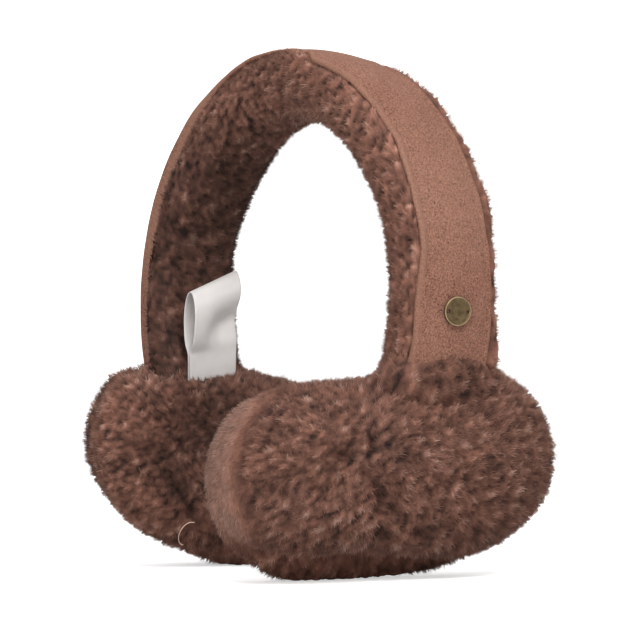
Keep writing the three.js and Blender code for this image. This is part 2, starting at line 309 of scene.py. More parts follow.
@dataclass(frozen=True)
class PadForm:
    """Sizes of an ear pad, the same for both.

    front_end and under are turns round the rim where its wool can lie smooth. shoulder is the
    half size of the swelling where the band's leg enters the pad.
    """

    half_length: float = 70.0
    half_height: float = 43.5
    thickness: float = 29.0
    centre_out: float = 51.0
    yaw: float = math.radians(18.0)
    cant: float = math.radians(6.0)
    seam_pull: float = 2.4
    seam_reach: float = 7.0
    outline_power: float = 2.3
    dome_power: float = 2.5
    climb_power: float = 0.8
    front_end: float = math.radians(165.0)
    under: float = math.radians(-110.0)
    shoulder: tuple[float, float, float] = (27.0, 19.0, 15.0)
    shoulder_angle: float = math.radians(114.0)
    shoulder_depth: float = 9.0
    shoulder_blend: float = 3.0

    def axes(self, place: PadPlace) -> tuple[Array, Array]:
        """The pad's own frame.

        Args:
            place: Which pad.

        Returns:
            Its centre, and a matrix whose rows are its long, tall and outward axes.
        """
        side = place.side.value
        level = np.array([side * math.sin(self.yaw), side * math.cos(self.yaw), 0.0])
        flat = np.array([side * math.cos(self.yaw), -side * math.sin(self.yaw), 0.0])
        up = np.array([0.0, 0.0, 1.0])
        outward = flat * math.cos(self.cant) + up * math.sin(self.cant)
        high = up * math.cos(self.cant) - flat * math.sin(self.cant)
        long = level * math.cos(place.tip) + high * math.sin(place.tip)
        tall = high * math.cos(place.tip) - level * math.sin(place.tip)
        reach = math.hypot(
            self.half_height * math.cos(place.tip), self.half_length * math.sin(place.tip)
        )
        centre = np.array([side * self.centre_out, place.along, reach - place.sole])
        return centre, np.stack([long, tall, outward])

    def fills(self, points: Array, place: PadPlace, shrink: float) -> Array:
        """Which points lie inside the pad, drawn in by some millimetres."""
        centre, axes = self.axes(place)
        local = (points - centre) @ axes.T
        flat = np.abs(local[:, 0] / (self.half_length - shrink)) ** self.outline_power
        flat += np.abs(local[:, 1] / (self.half_height - shrink)) ** self.outline_power
        dome = flat ** (self.dome_power / self.outline_power)
        dome += np.abs(local[:, 2] / (self.thickness - shrink)) ** self.dome_power
        return dome < 1.0


BAND = Band()
PAD = PadForm()
RIGHT_PAD = PadPlace(
    Side.RIGHT, -8.0, math.radians(8.0), 5.5, math.radians(-112.0), 14.0,
    dents=(Dent((44.0, -16.0, 82.0), 19.0, (0.0, 0.0, -7.0)),),
    outer_creases=(
        Crease((-14.3, 12.8), (-15.5, 8.2), 1.7, 1.4), Crease((-24.0, 8.2), (-30.0, 9.0), 1.5, 0.8),
        Crease((-17.4, -0.7), (-16.1, -9.7), 1.5, 0.8), Crease((8.5, -6.0), (11.0, -8.0), 1.5, 1.0),
        Crease((-17.4, -20.1), (-13.8, -22.7), 1.8), Crease((-4.0, -22.8), (0.2, -23.7), 1.8),
    ),
)
LEFT_PAD = PadPlace(
    Side.LEFT, 10.0, math.radians(21.0), 8.0, math.radians(-60.0), 3.0,
    dents=(
        Dent((-40.0, 6.0, 88.0), 24.0, (0.0, 0.0, -4.0)),
        Dent((-60.0, -22.0, 88.0), 13.0, (0.0, 0.0, -12.0)),
        Dent((-66.0, -36.0, 16.0), 22.0, (-0.4, -1.2, -3.4)),
        Dent((-54.0, -24.0, 86.0), 14.0, (0.0, 0.0, -7.0), Facing.INNER),
        Dent((-49.0, -10.0, 87.0), 13.0, (0.0, 0.0, -10.0), Facing.INNER),
        # The inner panel's bowl, with painted shading deep in it
        Dent((-31.0, -14.0, 54.0), 30.0, (-9.0, 3.0, 0.0), Facing.INNER, 4.2),
    ),
    inner_creases=(
        Crease((41.7, -8.3), (31.0, -16.0), 4.0, 0.8), Crease((31.0, -16.0), (20.9, -24.8), 3.0, 1.2),
    ),
)


@dataclass(frozen=True)
class Pile:
    """How the wool of one fleece piece grows. Lengths are in millimetres.

    Each strand leans the way the wool is brushed. stir is how strongly neighbours wave together,
    tuft how much of the wool is drawn into locks, clumping how closely the tips of a lock meet,
    scatter how straggly each strand is, and loose the share of strands that stand free of their
    lock. stretch is a lock's length over its width, and tousle how unevenly the locks lie.
    """

    strands: int
    length: float
    lock_size: float
    lock_height: float
    lean: float
    scatter: float = 0.18
    width: float = 0.33
    stretch: float = 1.7
    tousle: float = 0.3
    loose: float = 0.3
    tuft: float = 0.7
    clumping: float = 0.32
    stir: float = 0.55


# How far the strands' skin lies inside the pad's full shape
PELT_DRAWN = 2.8
# Where the wool of each panel turns round, on the pad's long and tall axes
WHORLS = {
    (Side.RIGHT, Facing.OUTER): (-13.0, 10.5),
    (Side.RIGHT, Facing.INNER): (10.0, 6.0),
    (Side.LEFT, Facing.OUTER): (-8.0, 8.0),
    (Side.LEFT, Facing.INNER): (6.0, 10.0),
}
HIDDEN_PILE = Pile(strands=36000, length=4.1, lock_size=4.4, lock_height=0.8, lean=0.5, width=0.4)
PILES = {
    (Side.RIGHT, Facing.OUTER): Pile(
        strands=58500, length=3.7, lock_size=3.8, lock_height=0.9, lean=0.5
    ),
    (Side.RIGHT, Facing.INNER): Pile(
        strands=52000, length=3.7, lock_size=3.8, lock_height=1.3, lean=0.45, width=0.36
    ),
    (Side.LEFT, Facing.OUTER): HIDDEN_PILE,
    (Side.LEFT, Facing.INNER): Pile(
        strands=54000, length=3.7, lock_size=3.6, lock_height=0.9, lean=0.35
    ),
}
LINING_PILE = Pile(strands=56000, length=3.4, lock_size=3.6, lock_height=1.2, lean=0.35, width=0.31)


@dataclass
class Skin:
    """The surface that the wool grows from.

    Triangles index points. comb is the way the wool is brushed, cover is from 0, bare, to 1,
    fully grown, calm is from 0, curly, to 1, brushed smooth, and dip is from 0 to 1 where the wool
    parts, which the material paints darker as painted shading. The field after dip is how much
    darker the wool is painted: painted shading in hollows and on the left leg's inner face, and
    painted light, where it is negative, on rims, the crown and parts in shadow. chart is each
    triangle corner's place on the bake map, and sheet marks the triangles that don't just close a hole.
    """

    points: Array
    triangles: Array
    normals: Array
    comb: Array
    cover: Array
    calm: Array
    dip: Array
    # How much darker the wool is painted: painted shading, and painted light where negative
    painted_shade: Array
    chart: Array
    sheet: Array


def vertex_normals(points: Array, triangles: Array) -> Array:
    """Area-weighted normals of a triangle mesh."""
    a, b, c = (points[triangles[:, k]] for k in range(3))
    face = np.cross(b - a, c - a)
    normals = np.zeros_like(points)
    for k in range(3):
        np.add.at(normals, triangles[:, k], face)
    return unit(normals)


@dataclass
class Pelt:
    """The lumpy surface under the strands.

    reach is how near each point comes to the wool's tips, from 0 to 1, and the material paints low
    reach nearly black as painted shading in the crevices. tone is how light the wool is there: its
    lock's own tone with painted shading and painted light.
    """

    points: Array
    normals: Array
    reach: Array
    tone: Array


@dataclass
class Strands:
    """Fine strands of wool, one to a row.

    out is the skin's normal at the root, calm how smoothly the strand is brushed, tone how light
    it is, its lock's own tone with painted shading and painted light, and reach how near its root
    comes to the wool's tips.
    """

    root: Array
    tip: Array
    out: Array
    calm: Array
    tone: Array
    reach: Array


@dataclass
class Locks:
    """Centres of the wool's locks, and how each stands.

    hook is the way a lock's tip curls, and AT_ONCE is how many points are measured at a time.
    """

    AT_ONCE = 1500

    centre: Array
    normal: Array
    comb: Array
    tone: Array
    stature: Array
    hook: Array
    stretch: float
    size: float

    def nearest(self, points: Array) -> tuple[Array, Array]:
        """The lock that each point belongs to.

        Args:
            points: Places in millimetres.

        Returns:
            The lock's index, and how deep inside the lock the point is: 0 at the crevice between
            two locks and about 1 at the lock's middle.
        """
        index = np.empty(len(points), int)
        inside = np.empty(len(points))
        squeeze = 1.0 - 1.0 / self.stretch**2
        wander = np.stack([soft_noise(points, 4.2, seed) for seed in (31, 32, 33)], -1)
        points = points + 0.22 * self.size * wander
        for start in range(0, len(points), self.AT_ONCE):
            part = points[start : start + self.AT_ONCE]
            gap = part[:, None, :] - self.centre[None]
            along = np.einsum("ijk,jk->ij", gap, self.comb)
            square = (gap**2).sum(-1) - squeeze * along**2
            two = np.argpartition(square, 2, axis=1)[:, :2]
            near = np.take_along_axis(square, two, 1)
            order = np.argsort(near, 1)
            two = np.take_along_axis(two, order, 1)
            near = np.sqrt(np.maximum(np.take_along_axis(near, order, 1), 0.0))
            index[start : start + self.AT_ONCE] = two[:, 0]
            inside[start : start + self.AT_ONCE] = (near[:, 1] - near[:, 0]) / self.size
        return index, np.clip(inside, 0.0, 1.0)


class Fleece:
    """Grows a sheepskin pile on a skin: a lumpy pelt of locks, and thousands of fine strands."""

    LOCK_TRIES = 14000
    LOCK_SPACING = 0.8
    STATURES = (0.75, 1.2)
    STRAND_LENGTHS = (0.7, 1.1)
    COARSE_WAVE = 2.7
    FINE_WAVE = 1.5
    ROOT_SUNK = 0.4
    FLOOR_GAP = 0.15

    def __init__(
        self, skin: Skin, pile: Pile, seed: int, keep: Callable[[Array, Array], Array]
    ) -> None:
        """Takes the skin, the kind of pile, a seed and a test of which strands may grow."""
        self.skin = skin
        self.pile = pile
        self.rng = np.random.default_rng(seed)
        self.keep = keep

    def scatter_on(self, count: int, weight: Array) -> tuple[Array, Array]:
        """Random places on the skin.

        Args:
            count: How many.
            weight: How much wool each point of the skin bears.

        Returns:
            The triangle of each place and its weights on the triangle's corners.
        """
        tri = self.skin.triangles
        a, b, c = (self.skin.points[tri[:, k]] for k in range(3))
        area = np.linalg.norm(np.cross(b - a, c - a), axis=1) * weight[tri].mean(1)
        chosen = self.rng.choice(len(tri), count, p=area / area.sum())
        r, s = self.rng.random((2, count))
        root = np.sqrt(r)
        return chosen, np.stack([1 - root, root * (1 - s), root * s], 1)

    def blend(self, values: Array, chosen: Array, corners: Array) -> Array:
        """A value of the skin's points, taken at places on its triangles."""
        picked = values[self.skin.triangles[chosen]]
        if picked.ndim == 2:
            return (picked * corners).sum(1)
        return (picked * corners[..., None]).sum(1)

    def make_locks(self) -> Locks:
        """Spreads the locks' centres evenly over the skin."""
        tri, corners = self.scatter_on(self.LOCK_TRIES, np.clip(self.skin.cover, 0.02, 1.0))
        spots = self.blend(self.skin.points, tri, corners)
        taken: dict[tuple[int, int, int], list[int]] = {}
        size = self.pile.lock_size
        apart = (self.LOCK_SPACING * size) ** 2
        keep: list[int] = []
        cells = np.floor(spots / size).astype(int)
        for i, (x, y, z) in enumerate(cells.tolist()):
            near = (
                j
                for dx in (-1, 0, 1)
                for dy in (-1, 0, 1)
                for dz in (-1, 0, 1)
                for j in taken.get((x + dx, y + dy, z + dz), ())
            )
            if all(((spots[i] - spots[j]) ** 2).sum() > apart for j in near):
                taken.setdefault((x, y, z), []).append(i)
                keep.append(i)
        tri, corners, spots = tri[keep], corners[keep], spots[keep]
        tousle = self.rng.normal(0, self.pile.tousle, spots.shape)
        comb = unit(self.blend(self.skin.comb, tri, corners) + tousle)
        normal = unit(self.blend(self.skin.normals, tri, corners))
        tone = self.rng.normal(0, 1, len(spots))
        stature = self.rng.uniform(*self.STATURES, len(spots))
        hook = self.rng.normal(0, 1, spots.shape)
        hook -= normal * (hook * normal).sum(1, keepdims=True)
        return Locks(spots, normal, comb, tone, stature, hook, self.pile.stretch, size)

    def build(self, name: str) -> bpy.types.Object:
        """Makes the fleece as one mesh object.

        Args:
            name: The object's name.

        Returns:
            The object, with the point attributes pile_reach and pile_tone_and_painted_shade and a bake map.
        """
        locks = self.make_locks()
        pelt = self.make_pelt(locks)
        strands = self.grow(locks, pelt)
        log.info("%s: %d strands", name, len(strands.root))
        return self.join(name, pelt, strands)

    def make_pelt(self, locks: Locks) -> Pelt:
        """Swells the skin into locks, with crevices between them.

        Args:
            locks: The wool's locks.

        Returns:
            The pelt, on the skin's own triangles.
        """
        skin = self.skin
        lock, inside = locks.nearest(skin.points)
        rough = 0.3 * soft_noise(skin.points, 2.4, 41) + 0.1 * soft_noise(skin.points, 5.0, 42)
        crest = np.clip(0.08 + 0.85 * np.sqrt(inside) + rough, 0.0, 1.0)
        crest *= (1.0 - 0.75 * skin.calm) * skin.cover * (1.0 - 0.8 * skin.dip)
        lift = self.pile.lock_height * locks.stature[lock] * (crest - 0.5)
        bulge = skin.normals * lift[:, None] + locks.comb[lock] * (0.45 * lift)[:, None]
        bulge *= np.clip(skin.cover, 0, 1)[:, None]
        points = skin.points + bulge
        normals = vertex_normals(points, skin.triangles[skin.sheet])
        # The material paints low reach nearly black: painted shading in the crevices between locks and
        # in the partings
        reach = 0.05 + 0.6 * np.maximum(crest, 0.8 * skin.calm) * (1.0 - 0.5 * skin.dip)
        # The pelt's tone: its lock's own tone, with painted shading and painted light from the skin
        return Pelt(points, normals, reach, 0.5 * locks.tone[lock] - skin.painted_shade)

    def grow(self, locks: Locks, pelt: Pelt) -> Strands:
        """Grows the strands: some are drawn into the tips of their locks, and some stand free.

        Args:
            locks: The wool's locks.
            pelt: The surface that the strands stand on.

        Returns:
            The strands that stand above the floor and that the test lets grow.
        """
        skin, pile = self.skin, self.pile
        tri, corners = self.scatter_on(pile.strands, skin.cover)
        root = self.blend(pelt.points, tri, corners)
        out = unit(self.blend(skin.normals, tri, corners))
        comb = unit(self.blend(skin.comb, tri, corners))
        calm = self.blend(skin.calm, tri, corners)
        cover = self.blend(skin.cover, tri, corners)
        lock, depth_in = locks.nearest(root)
        centre, lean = locks.centre[lock], locks.comb[lock]
        offset = root - centre
        offset -= out * (offset * out).sum(1, keepdims=True)
        dome = 0.3 + 0.7 * np.sqrt(depth_in)
        height = pile.length * locks.stature[lock] * dome
        hook = locks.hook[lock] * (0.28 * pile.length)
        aim = centre + offset * (1.0 - pile.clumping) + hook * depth_in[:, None]
        aim += locks.normal[lock] * height[:, None] + lean * (height * pile.lean)[:, None]
        pull = aim - root
        far = np.linalg.norm(pull, axis=1)
        waves = [
            soft_noise(root, self.COARSE_WAVE, seed)
            + 0.8 * soft_noise(root, self.FINE_WAVE, seed + 9)
            for seed in (51, 54, 57)
        ]
        stir = np.stack(waves, -1) * (pile.stir * (1.0 - 0.75 * calm))[:, None]
        free = unit(out + comb * (pile.lean * (0.8 + 1.6 * calm))[:, None] + stir)
        tufted = pile.tuft * (1.0 - calm) * (self.rng.random(len(root)) > pile.loose)
        stray = pile.scatter * np.where(tufted > 0.1, 1.0, 2.0 - 1.2 * calm)
        way = unit(
            free * (1.0 - tufted)[:, None]
            + pull / far[:, None] * tufted[:, None]
            + self.rng.normal(0, 1, root.shape) * stray[:, None]
        )
        length = far * tufted + 0.8 * pile.length * (1.0 - tufted)
        length *= self.rng.uniform(*self.STRAND_LENGTHS, len(root)) * np.clip(cover * 1.4, 0.35, 1)
        root = root - out * self.ROOT_SUNK
        tip = root + way * length[:, None]
        clear = np.minimum(root[:, 2], tip[:, 2]) > self.FLOOR_GAP
        keep = clear & self.keep(root, tip)
        reach = self.blend(pelt.reach, tri, corners)
        # The strand's tone: its lock's own tone, with painted shading and painted light from the skin
        tone_with_painted_shade = 0.5 * locks.tone[lock] - self.blend(skin.painted_shade, tri, corners)
        return Strands(root[keep], tip[keep], out[keep], calm[keep], tone_with_painted_shade[keep], reach[keep])

    def join(self, name: str, pelt: Pelt, strands: Strands) -> bpy.types.Object:
        """Joins the pelt and its strands, each a thin cone of three faces, into one mesh.

        Args:
            name: The object's name.
            pelt: The pelt.
            strands: The strands.

        Returns:
            The object.
        """
        root, tip, out, calm = strands.root, strands.tip, strands.out, strands.calm
        count = len(root)
        way = unit(tip - root)
        side = unit(np.cross(way, out + self.rng.normal(0, 0.3, out.shape)))
        other = np.cross(way, side)
        width = self.pile.width * (0.75 + 0.5 * self.rng.random(count)) * (1.0 - 0.35 * calm)
        ring = []
        for k in range(3):
            turn = 2 * math.pi * k / 3
            ring.append(root + (side * math.cos(turn) + other * math.sin(turn)) * (width / 2)[:, None])
        cones = np.stack([*ring, tip], 1).reshape(-1, 3)
        soft = unit(out * 0.75 + way * 0.25)
        spread = np.stack([unit(soft * 0.8 + unit(p - root) * 0.35) for p in ring] + [soft], 1)
        verts = np.concatenate([pelt.points, cones])
        shade_normals = np.concatenate([pelt.normals, spread.reshape(-1, 3)])
        first = len(pelt.points) + 4 * np.arange(count)[:, None]
        faces = np.array([[0, 1, 3], [1, 2, 3], [2, 0, 3]])
        tris = (first[:, None, :] + faces[None]).reshape(-1, 3)
        triangles = np.concatenate([self.skin.triangles, tris])
        frost = 0.45 * self.rng.random(count) ** 1.3 * (0.35 + strands.reach)
        tip_reach = np.clip(1.05 * strands.reach + 0.02 + frost, 0.0, 1.0)
        cone_reach = np.stack([strands.reach * 0.9] * 3 + [tip_reach], 1).reshape(-1)
        reach = np.concatenate([pelt.reach, cone_reach])
        # Each strand's tone: its lock's own tone with painted shading and painted light, random spread,
        # and lighter where brushed smooth
        each = strands.tone + self.rng.normal(0, 0.7, count) * (1.0 + 0.4 * calm) + 0.3 * calm
        tones_with_painted_shade = np.concatenate([pelt.tone + 0.3 * self.skin.calm, np.repeat(each, 4)])
        charts = np.concatenate([self.skin.chart.reshape(-1, 2), self.strand_chart(count)])
        mesh = mesh_from(name, verts * MM, triangles, charts)
        store(mesh, "pile_reach", reach)
        store(mesh, "pile_tone_and_painted_shade", tones_with_painted_shade)
        mesh.normals_split_custom_set_from_vertices(shade_normals)
        return place_object(name, mesh)

    def strand_chart(self, count: int) -> Array:
        """The strands' places on the bake map: a cell each, in its upper part."""
        low, tall = STRANDS_CHART
        columns = max(1, math.ceil(math.sqrt(count / tall)))
        rows = math.ceil(count / columns)
        cell = np.array([1.0 / columns, tall / rows])
        corner = np.stack([np.arange(count) % columns, np.arange(count) // columns], 1) * cell
        corner = corner + np.array([0.0, low])
        shape = np.array(
            [
                [[0.06, 0.08], [0.34, 0.08], [0.2, 0.92]],
                [[0.36, 0.08], [0.64, 0.08], [0.5, 0.92]],
                [[0.66, 0.08], [0.94, 0.08], [0.8, 0.92]],
            ]
        )
        return (corner[:, None, None, :] + shape[None] * cell).reshape(-1, 2)


def mesh_from(name: str, verts: Array, triangles: Array, chart: Array) -> bpy.types.Mesh:
    """Makes a smooth triangle mesh from arrays.

    Args:
        name: The mesh's name.
        verts: Points in metres.
        triangles: Three point indices to a row.
        chart: The bake map's places, one for each corner of each triangle.

    Returns:
        The mesh.
    """
    mesh = bpy.data.meshes.new(name)
    mesh.vertices.add(len(verts))
    mesh.vertices.foreach_set("co", verts.astype(np.float32).ravel())
    mesh.loops.add(triangles.size)
    mesh.loops.foreach_set("vertex_index", triangles.astype(np.int32).ravel())
    mesh.polygons.add(len(triangles))
    mesh.polygons.foreach_set("loop_start", np.arange(0, triangles.size, 3, dtype=np.int32))
    mesh.polygons.foreach_set("use_smooth", np.ones(len(triangles), bool))
    mesh.update(calc_edges=True)
    layer = mesh.uv_layers.new(name=BAKE_MAP)
    layer.uv.foreach_set("vector", chart.astype(np.float32).ravel())
    return mesh


def freed(name: str, bm: bmesh.types.BMesh) -> bpy.types.Mesh:
    """Turns a bmesh, which is freed, into a mesh."""
    mesh = bpy.data.meshes.new(name)
    bm.to_mesh(mesh)
    bm.free()
    return mesh


def link(name: str, data: bpy.types.ID) -> bpy.types.Object:
    """Puts an object with its data in the scene."""
    thing = bpy.data.objects.new(name, data)
    bpy.context.scene.collection.objects.link(thing)
    return thing


def place_object(name: str, mesh: bpy.types.Mesh) -> bpy.types.Object:
    """Puts a mesh in the scene as a piece that rides on the one body."""
    piece = link(name, mesh)
    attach(piece, "root")
    return piece


def store(mesh: bpy.types.Mesh, label: str, values: Array) -> None:
    """Stores one value for each of a mesh's points under a label."""
    layer = mesh.attributes.new(label, "FLOAT", "POINT")
    layer.data.foreach_set("value", values.astype(np.float32))


def soften(piece: bpy.types.Object, width: float) -> None:
    """Bevels a piece's sharp edges by a width in millimetres."""
    bevel = piece.modifiers.new("soft edges", "BEVEL")
    bevel.width, bevel.segments, bevel.limit_method = width * MM, 2, "ANGLE"


def spun(profile: Sequence[tuple[float, float]], steps: int, weld: float) -> bmesh.types.BMesh:
    """Spins a profile round the upright axis.

    Args:
        profile: Points outwards and upwards.
        steps: Parts of the full turn.
        weld: Points closer together than this become one.

    Returns:
        The bmesh, with its faces turned outwards.
    """
    bm = bmesh.new()
    verts = [bm.verts.new((x, 0.0, z)) for x, z in profile]
    edges = [bm.edges.new(pair) for pair in zip(verts, verts[1:])]
    bmesh.ops.spin(
        bm, geom=verts + edges, cent=(0, 0, 0), axis=(0, 0, 1), angle=2 * math.pi, steps=steps
    )
    bmesh.ops.remove_doubles(bm, verts=bm.verts[:], dist=weld)
    bmesh.ops.recalc_face_normals(bm, faces=bm.faces[:])
    return bm


def finish_bmesh(name: str, bm: bmesh.types.BMesh, smooth: bool = True) -> bpy.types.Object:
    """Turns a bmesh in millimetres into a finished piece in metres.

    Args:
        name: The object's name.
        bm: The shape, which is freed.
        smooth: Whether its faces are smooth.

    Returns:
        The object.
    """
    bmesh.ops.remove_doubles(bm, verts=bm.verts[:], dist=1e-3)
    bmesh.ops.recalc_face_normals(bm, faces=bm.faces[:])
    bmesh.ops.scale(bm, vec=(MM, MM, MM), verts=bm.verts[:])
    for face in bm.faces:
        face.smooth = smooth
    return place_object(name, freed(name, bm))


def sheet_bmesh(
    columns: int, rows: int, shape: Callable[[Array, Array], Array]
) -> bmesh.types.BMesh:
    """A grid of quads laid on a shape.

    Args:
        columns: Quads along the first way.
        rows: Quads along the second way.
        shape: Gives a point in millimetres for each pair of shares from 0 to 1.

    Returns:
        The bmesh, with the shares as its UV map.
    """
    bm = bmesh.new()
    bmesh.ops.create_grid(bm, x_segments=columns, y_segments=rows, size=0.5)
    shares = np.array([v.co[:2] for v in bm.verts]) + 0.5
    places = shape(shares[:, 0], shares[:, 1])
    chart = bm.loops.layers.uv.new(SURFACE_MAP)
    for face in bm.faces:
        for loop in face.loops:
            loop[chart].uv = shares[loop.vert.index]
    for vert, place in zip(bm.verts, places):
        vert.co = place
    return bm


class EarPad:
    """An ear pad: an outer and an inner panel of fleece, sewn together round the rim."""

    DETAIL = 104
    END_FADE = (0.45, 0.95)
    SOLE_HEIGHT = 1.2
    FILL = 0.55

    def __init__(self, form: PadForm, place: PadPlace, band: Band) -> None:
        """Takes the pad's sizes, its place and the band that it hangs on."""
        self.form = form
        self.place = place
        self.band = band
        self.centre, self.axes = form.axes(place)
        self.word = place.side.name.lower()

    def even_climbs(self, shares: Array) -> Array:
        """Turns shares of the way from the rim to the crown into climbs up the dome."""
        form = self.form
        climbs = np.linspace(0.0, math.pi / 2, 400)
        across = np.cos(climbs) ** form.climb_power * (form.half_length + form.half_height) / 2
        rise = np.sin(climbs) ** form.climb_power * form.thickness
        length = np.concatenate([[0.0], np.cumsum(np.hypot(np.diff(across), np.diff(rise)))])
        return np.interp(shares * length[-1], length, climbs)

    def dome(self, u: Array, v: Array, facing: Facing) -> Array:
        """Lays a square on one half of the pad, inside its full shape by the pelt's depth.

        Args:
            u: First share of each point, from 0 to 1.
            v: Second share of each point, from 0 to 1.
            facing: Which half.

        Returns:
            The points in millimetres.
        """
        form = self.form
        drawn: float | Array = PELT_DRAWN
        x, y = 2.0 * u - 1.0, 2.0 * v - 1.0
        disc_x, disc_y = x * np.sqrt(1.0 - y * y / 2.0), y * np.sqrt(1.0 - x * x / 2.0)
        climb = self.even_climbs(1.0 - np.clip(np.hypot(disc_x, disc_y), 0.0, 1.0))
        angle = np.arctan2(disc_y, disc_x)
        rise = form.thickness * np.sin(climb) ** form.climb_power
        gap = turn_between(angle, self.place.seam_turn)
        rising = self.place.seam_rise * np.exp(-((gap / 0.7) ** 2))
        reach = 7.0 if facing is Facing.INNER else 30.0
        at_end = self.at_end(angle)
        pull = rising * np.exp(-((rise / reach) ** 2))
        pull += form.seam_pull * np.exp(-((rise / form.seam_reach) ** 2)) * (1.0 - 0.8 * at_end)
        if self.place.side is Side.RIGHT:
            drawn = drawn - 1.8 * at_end * (1.0 - smoothstep(8.0, 16.0, rise))
        width = np.clip(np.cos(climb), 0.0, 1.0) ** form.climb_power
        power = 2.0 / form.outline_power
        long = np.sign(np.cos(angle)) * np.abs(np.cos(angle)) ** power * width
        tall = np.sign(np.sin(angle)) * np.abs(np.sin(angle)) ** power * width
        local = np.stack(
            [
                long * (form.half_length - drawn - pull),
                tall * (form.half_height - drawn - pull),
                facing.value * rise * (1.0 - drawn / form.thickness),
            ],
            -1,
        )
        points = self.with_shoulder(local @ self.axes + self.centre)
        return points + self.place.pressed(points, facing)

    def at_end(self, angle: Array) -> Array:
        """One at the pad's front end, where the rim is brushed smooth, and nothing elsewhere."""
        gap = turn_between(angle, self.form.front_end)
        return 1.0 - smoothstep(*self.END_FADE, np.abs(gap))

    def with_shoulder(self, points: Array) -> Array:
        """Swells the pad where the band's leg enters it.

        Args:
            points: Points of the dome.

        Returns:
            The points, pushed out to the shoulder where it stands proud.
        """
        form = self.form
        at = self.band.frames(np.array([self.place.side.value * form.shoulder_angle]))
        middle = at.at(np.zeros(1), np.full(1, form.shoulder_depth))[0]
        across = at.across[0]
        out = at.out[0]
        along = np.cross(across, out)
        basis = np.stack([across, along, out])
        size = np.array(form.shoulder) - PELT_DRAWN
        ray = points - self.centre
        reach = np.linalg.norm(ray, axis=1)
        way = ray / reach[:, None]
        start = ((self.centre - middle) @ basis.T) / size
        step = (way @ basis.T) / size
        a, b, c = (step**2).sum(1), step @ start, (start**2).sum() - 1.0
        square = b * b - a * c
        far = np.where(square > 0, (-b + np.sqrt(np.maximum(square, 0.0))) / a, 0.0)
        blend = form.shoulder_blend
        top = np.maximum(reach, far)
        mixed = top + blend * np.log1p(np.exp(-np.abs(reach - far) / blend))
        swell = np.where((far > 0) & (np.abs(reach - far) < 4 * blend), mixed, top)
        return self.centre + way * swell[:, None]

    def brush(self, points: Array, normals: Array, facing: Facing) -> tuple[Array, Array, Array]:
        """The way the wool is brushed on a panel.

        Args:
            points: The skin's points.
            normals: Their normals.
            facing: Which panel.

        Returns:
            The brushing direction at each point, how smooth the wool lies there, and how much
            darker it is painted: painted shading, and painted light where negative.
        """
        local = (points - self.centre) @ self.axes.T
        flat = local[:, :2] - np.array(WHORLS[self.place.side, facing])
        radial = unit(flat)
        swirl = 0.35 * soft_noise(points, 30.0, 5) + 0.2
        turned = np.stack(
            [
                radial[:, 0] * np.cos(swirl) - radial[:, 1] * np.sin(swirl),
                radial[:, 0] * np.sin(swirl) + radial[:, 1] * np.cos(swirl),
            ],
            -1,
        )
        half = np.array([self.form.half_length, self.form.half_height])
        round_rim = unit(local[:, 1::-1] / half[::-1] ** 2 * [-1.0, 1.0])
        rise = np.abs(local[:, 2])
        turn = np.arctan2(local[:, 1] / half[1], local[:, 0] / half[0])
        calm = np.zeros(len(points))
        under = np.zeros(len(points))
        if self.place.side is Side.RIGHT:
            below = np.abs(turn_between(turn, self.form.under))
            under = (1.0 - smoothstep(3.0, 8.0, rise)) * (1.0 - smoothstep(0.5, 0.9, below))
            smooth_under = 0.75 if facing is Facing.OUTER else 0.2
            calm = np.maximum(
                (1.0 - smoothstep(9.0, 15.0, rise)) * self.at_end(turn), smooth_under * under
            )
        mix = (0.9 * calm)[:, None]
        way = turned * (1 - mix) + round_rim * mix
        ahead = np.concatenate([way, np.zeros((len(way), 1))], 1)
        edge_on = 1.0 - np.abs(normals @ self.axes[2])
        to_seam = 0.45 * edge_on * (1 - calm) + 1.3 * calm * (1.0 - smoothstep(1.5, 4.5, rise))
        ahead[:, 2] = -facing.value * to_seam
        comb = ahead @ self.axes
        comb -= normals * (comb * normals).sum(1, keepdims=True)
        # Painted light: lighter where the panel turns edge-on, as a painted sheen on its rims, and low
        # at the seam under the pad, where shadow falls
        painted_shade = -0.6 * edge_on**2 - 2.0 * under
        # Painted light on the right pad's inner lobe at its bottom, which lies in shadow
        if self.place.side is Side.RIGHT and facing is Facing.INNER:
            painted_shade -= 2.4 * (1.0 - smoothstep(0.6, 1.0, below))
        # Painted light over the whole inner panel of the left pad, set against the painted shading of
        # its bowl
        if self.place.side is Side.LEFT and facing is Facing.INNER:
            painted_shade -= 1.5
        # Painted shading deep in each dent's hollow
        for dent in self.place.dents:
            if dent.panel in (None, facing):
                painted_shade += dent.painted_shade * dent.nearness(points)
        return unit(comb), calm, painted_shade

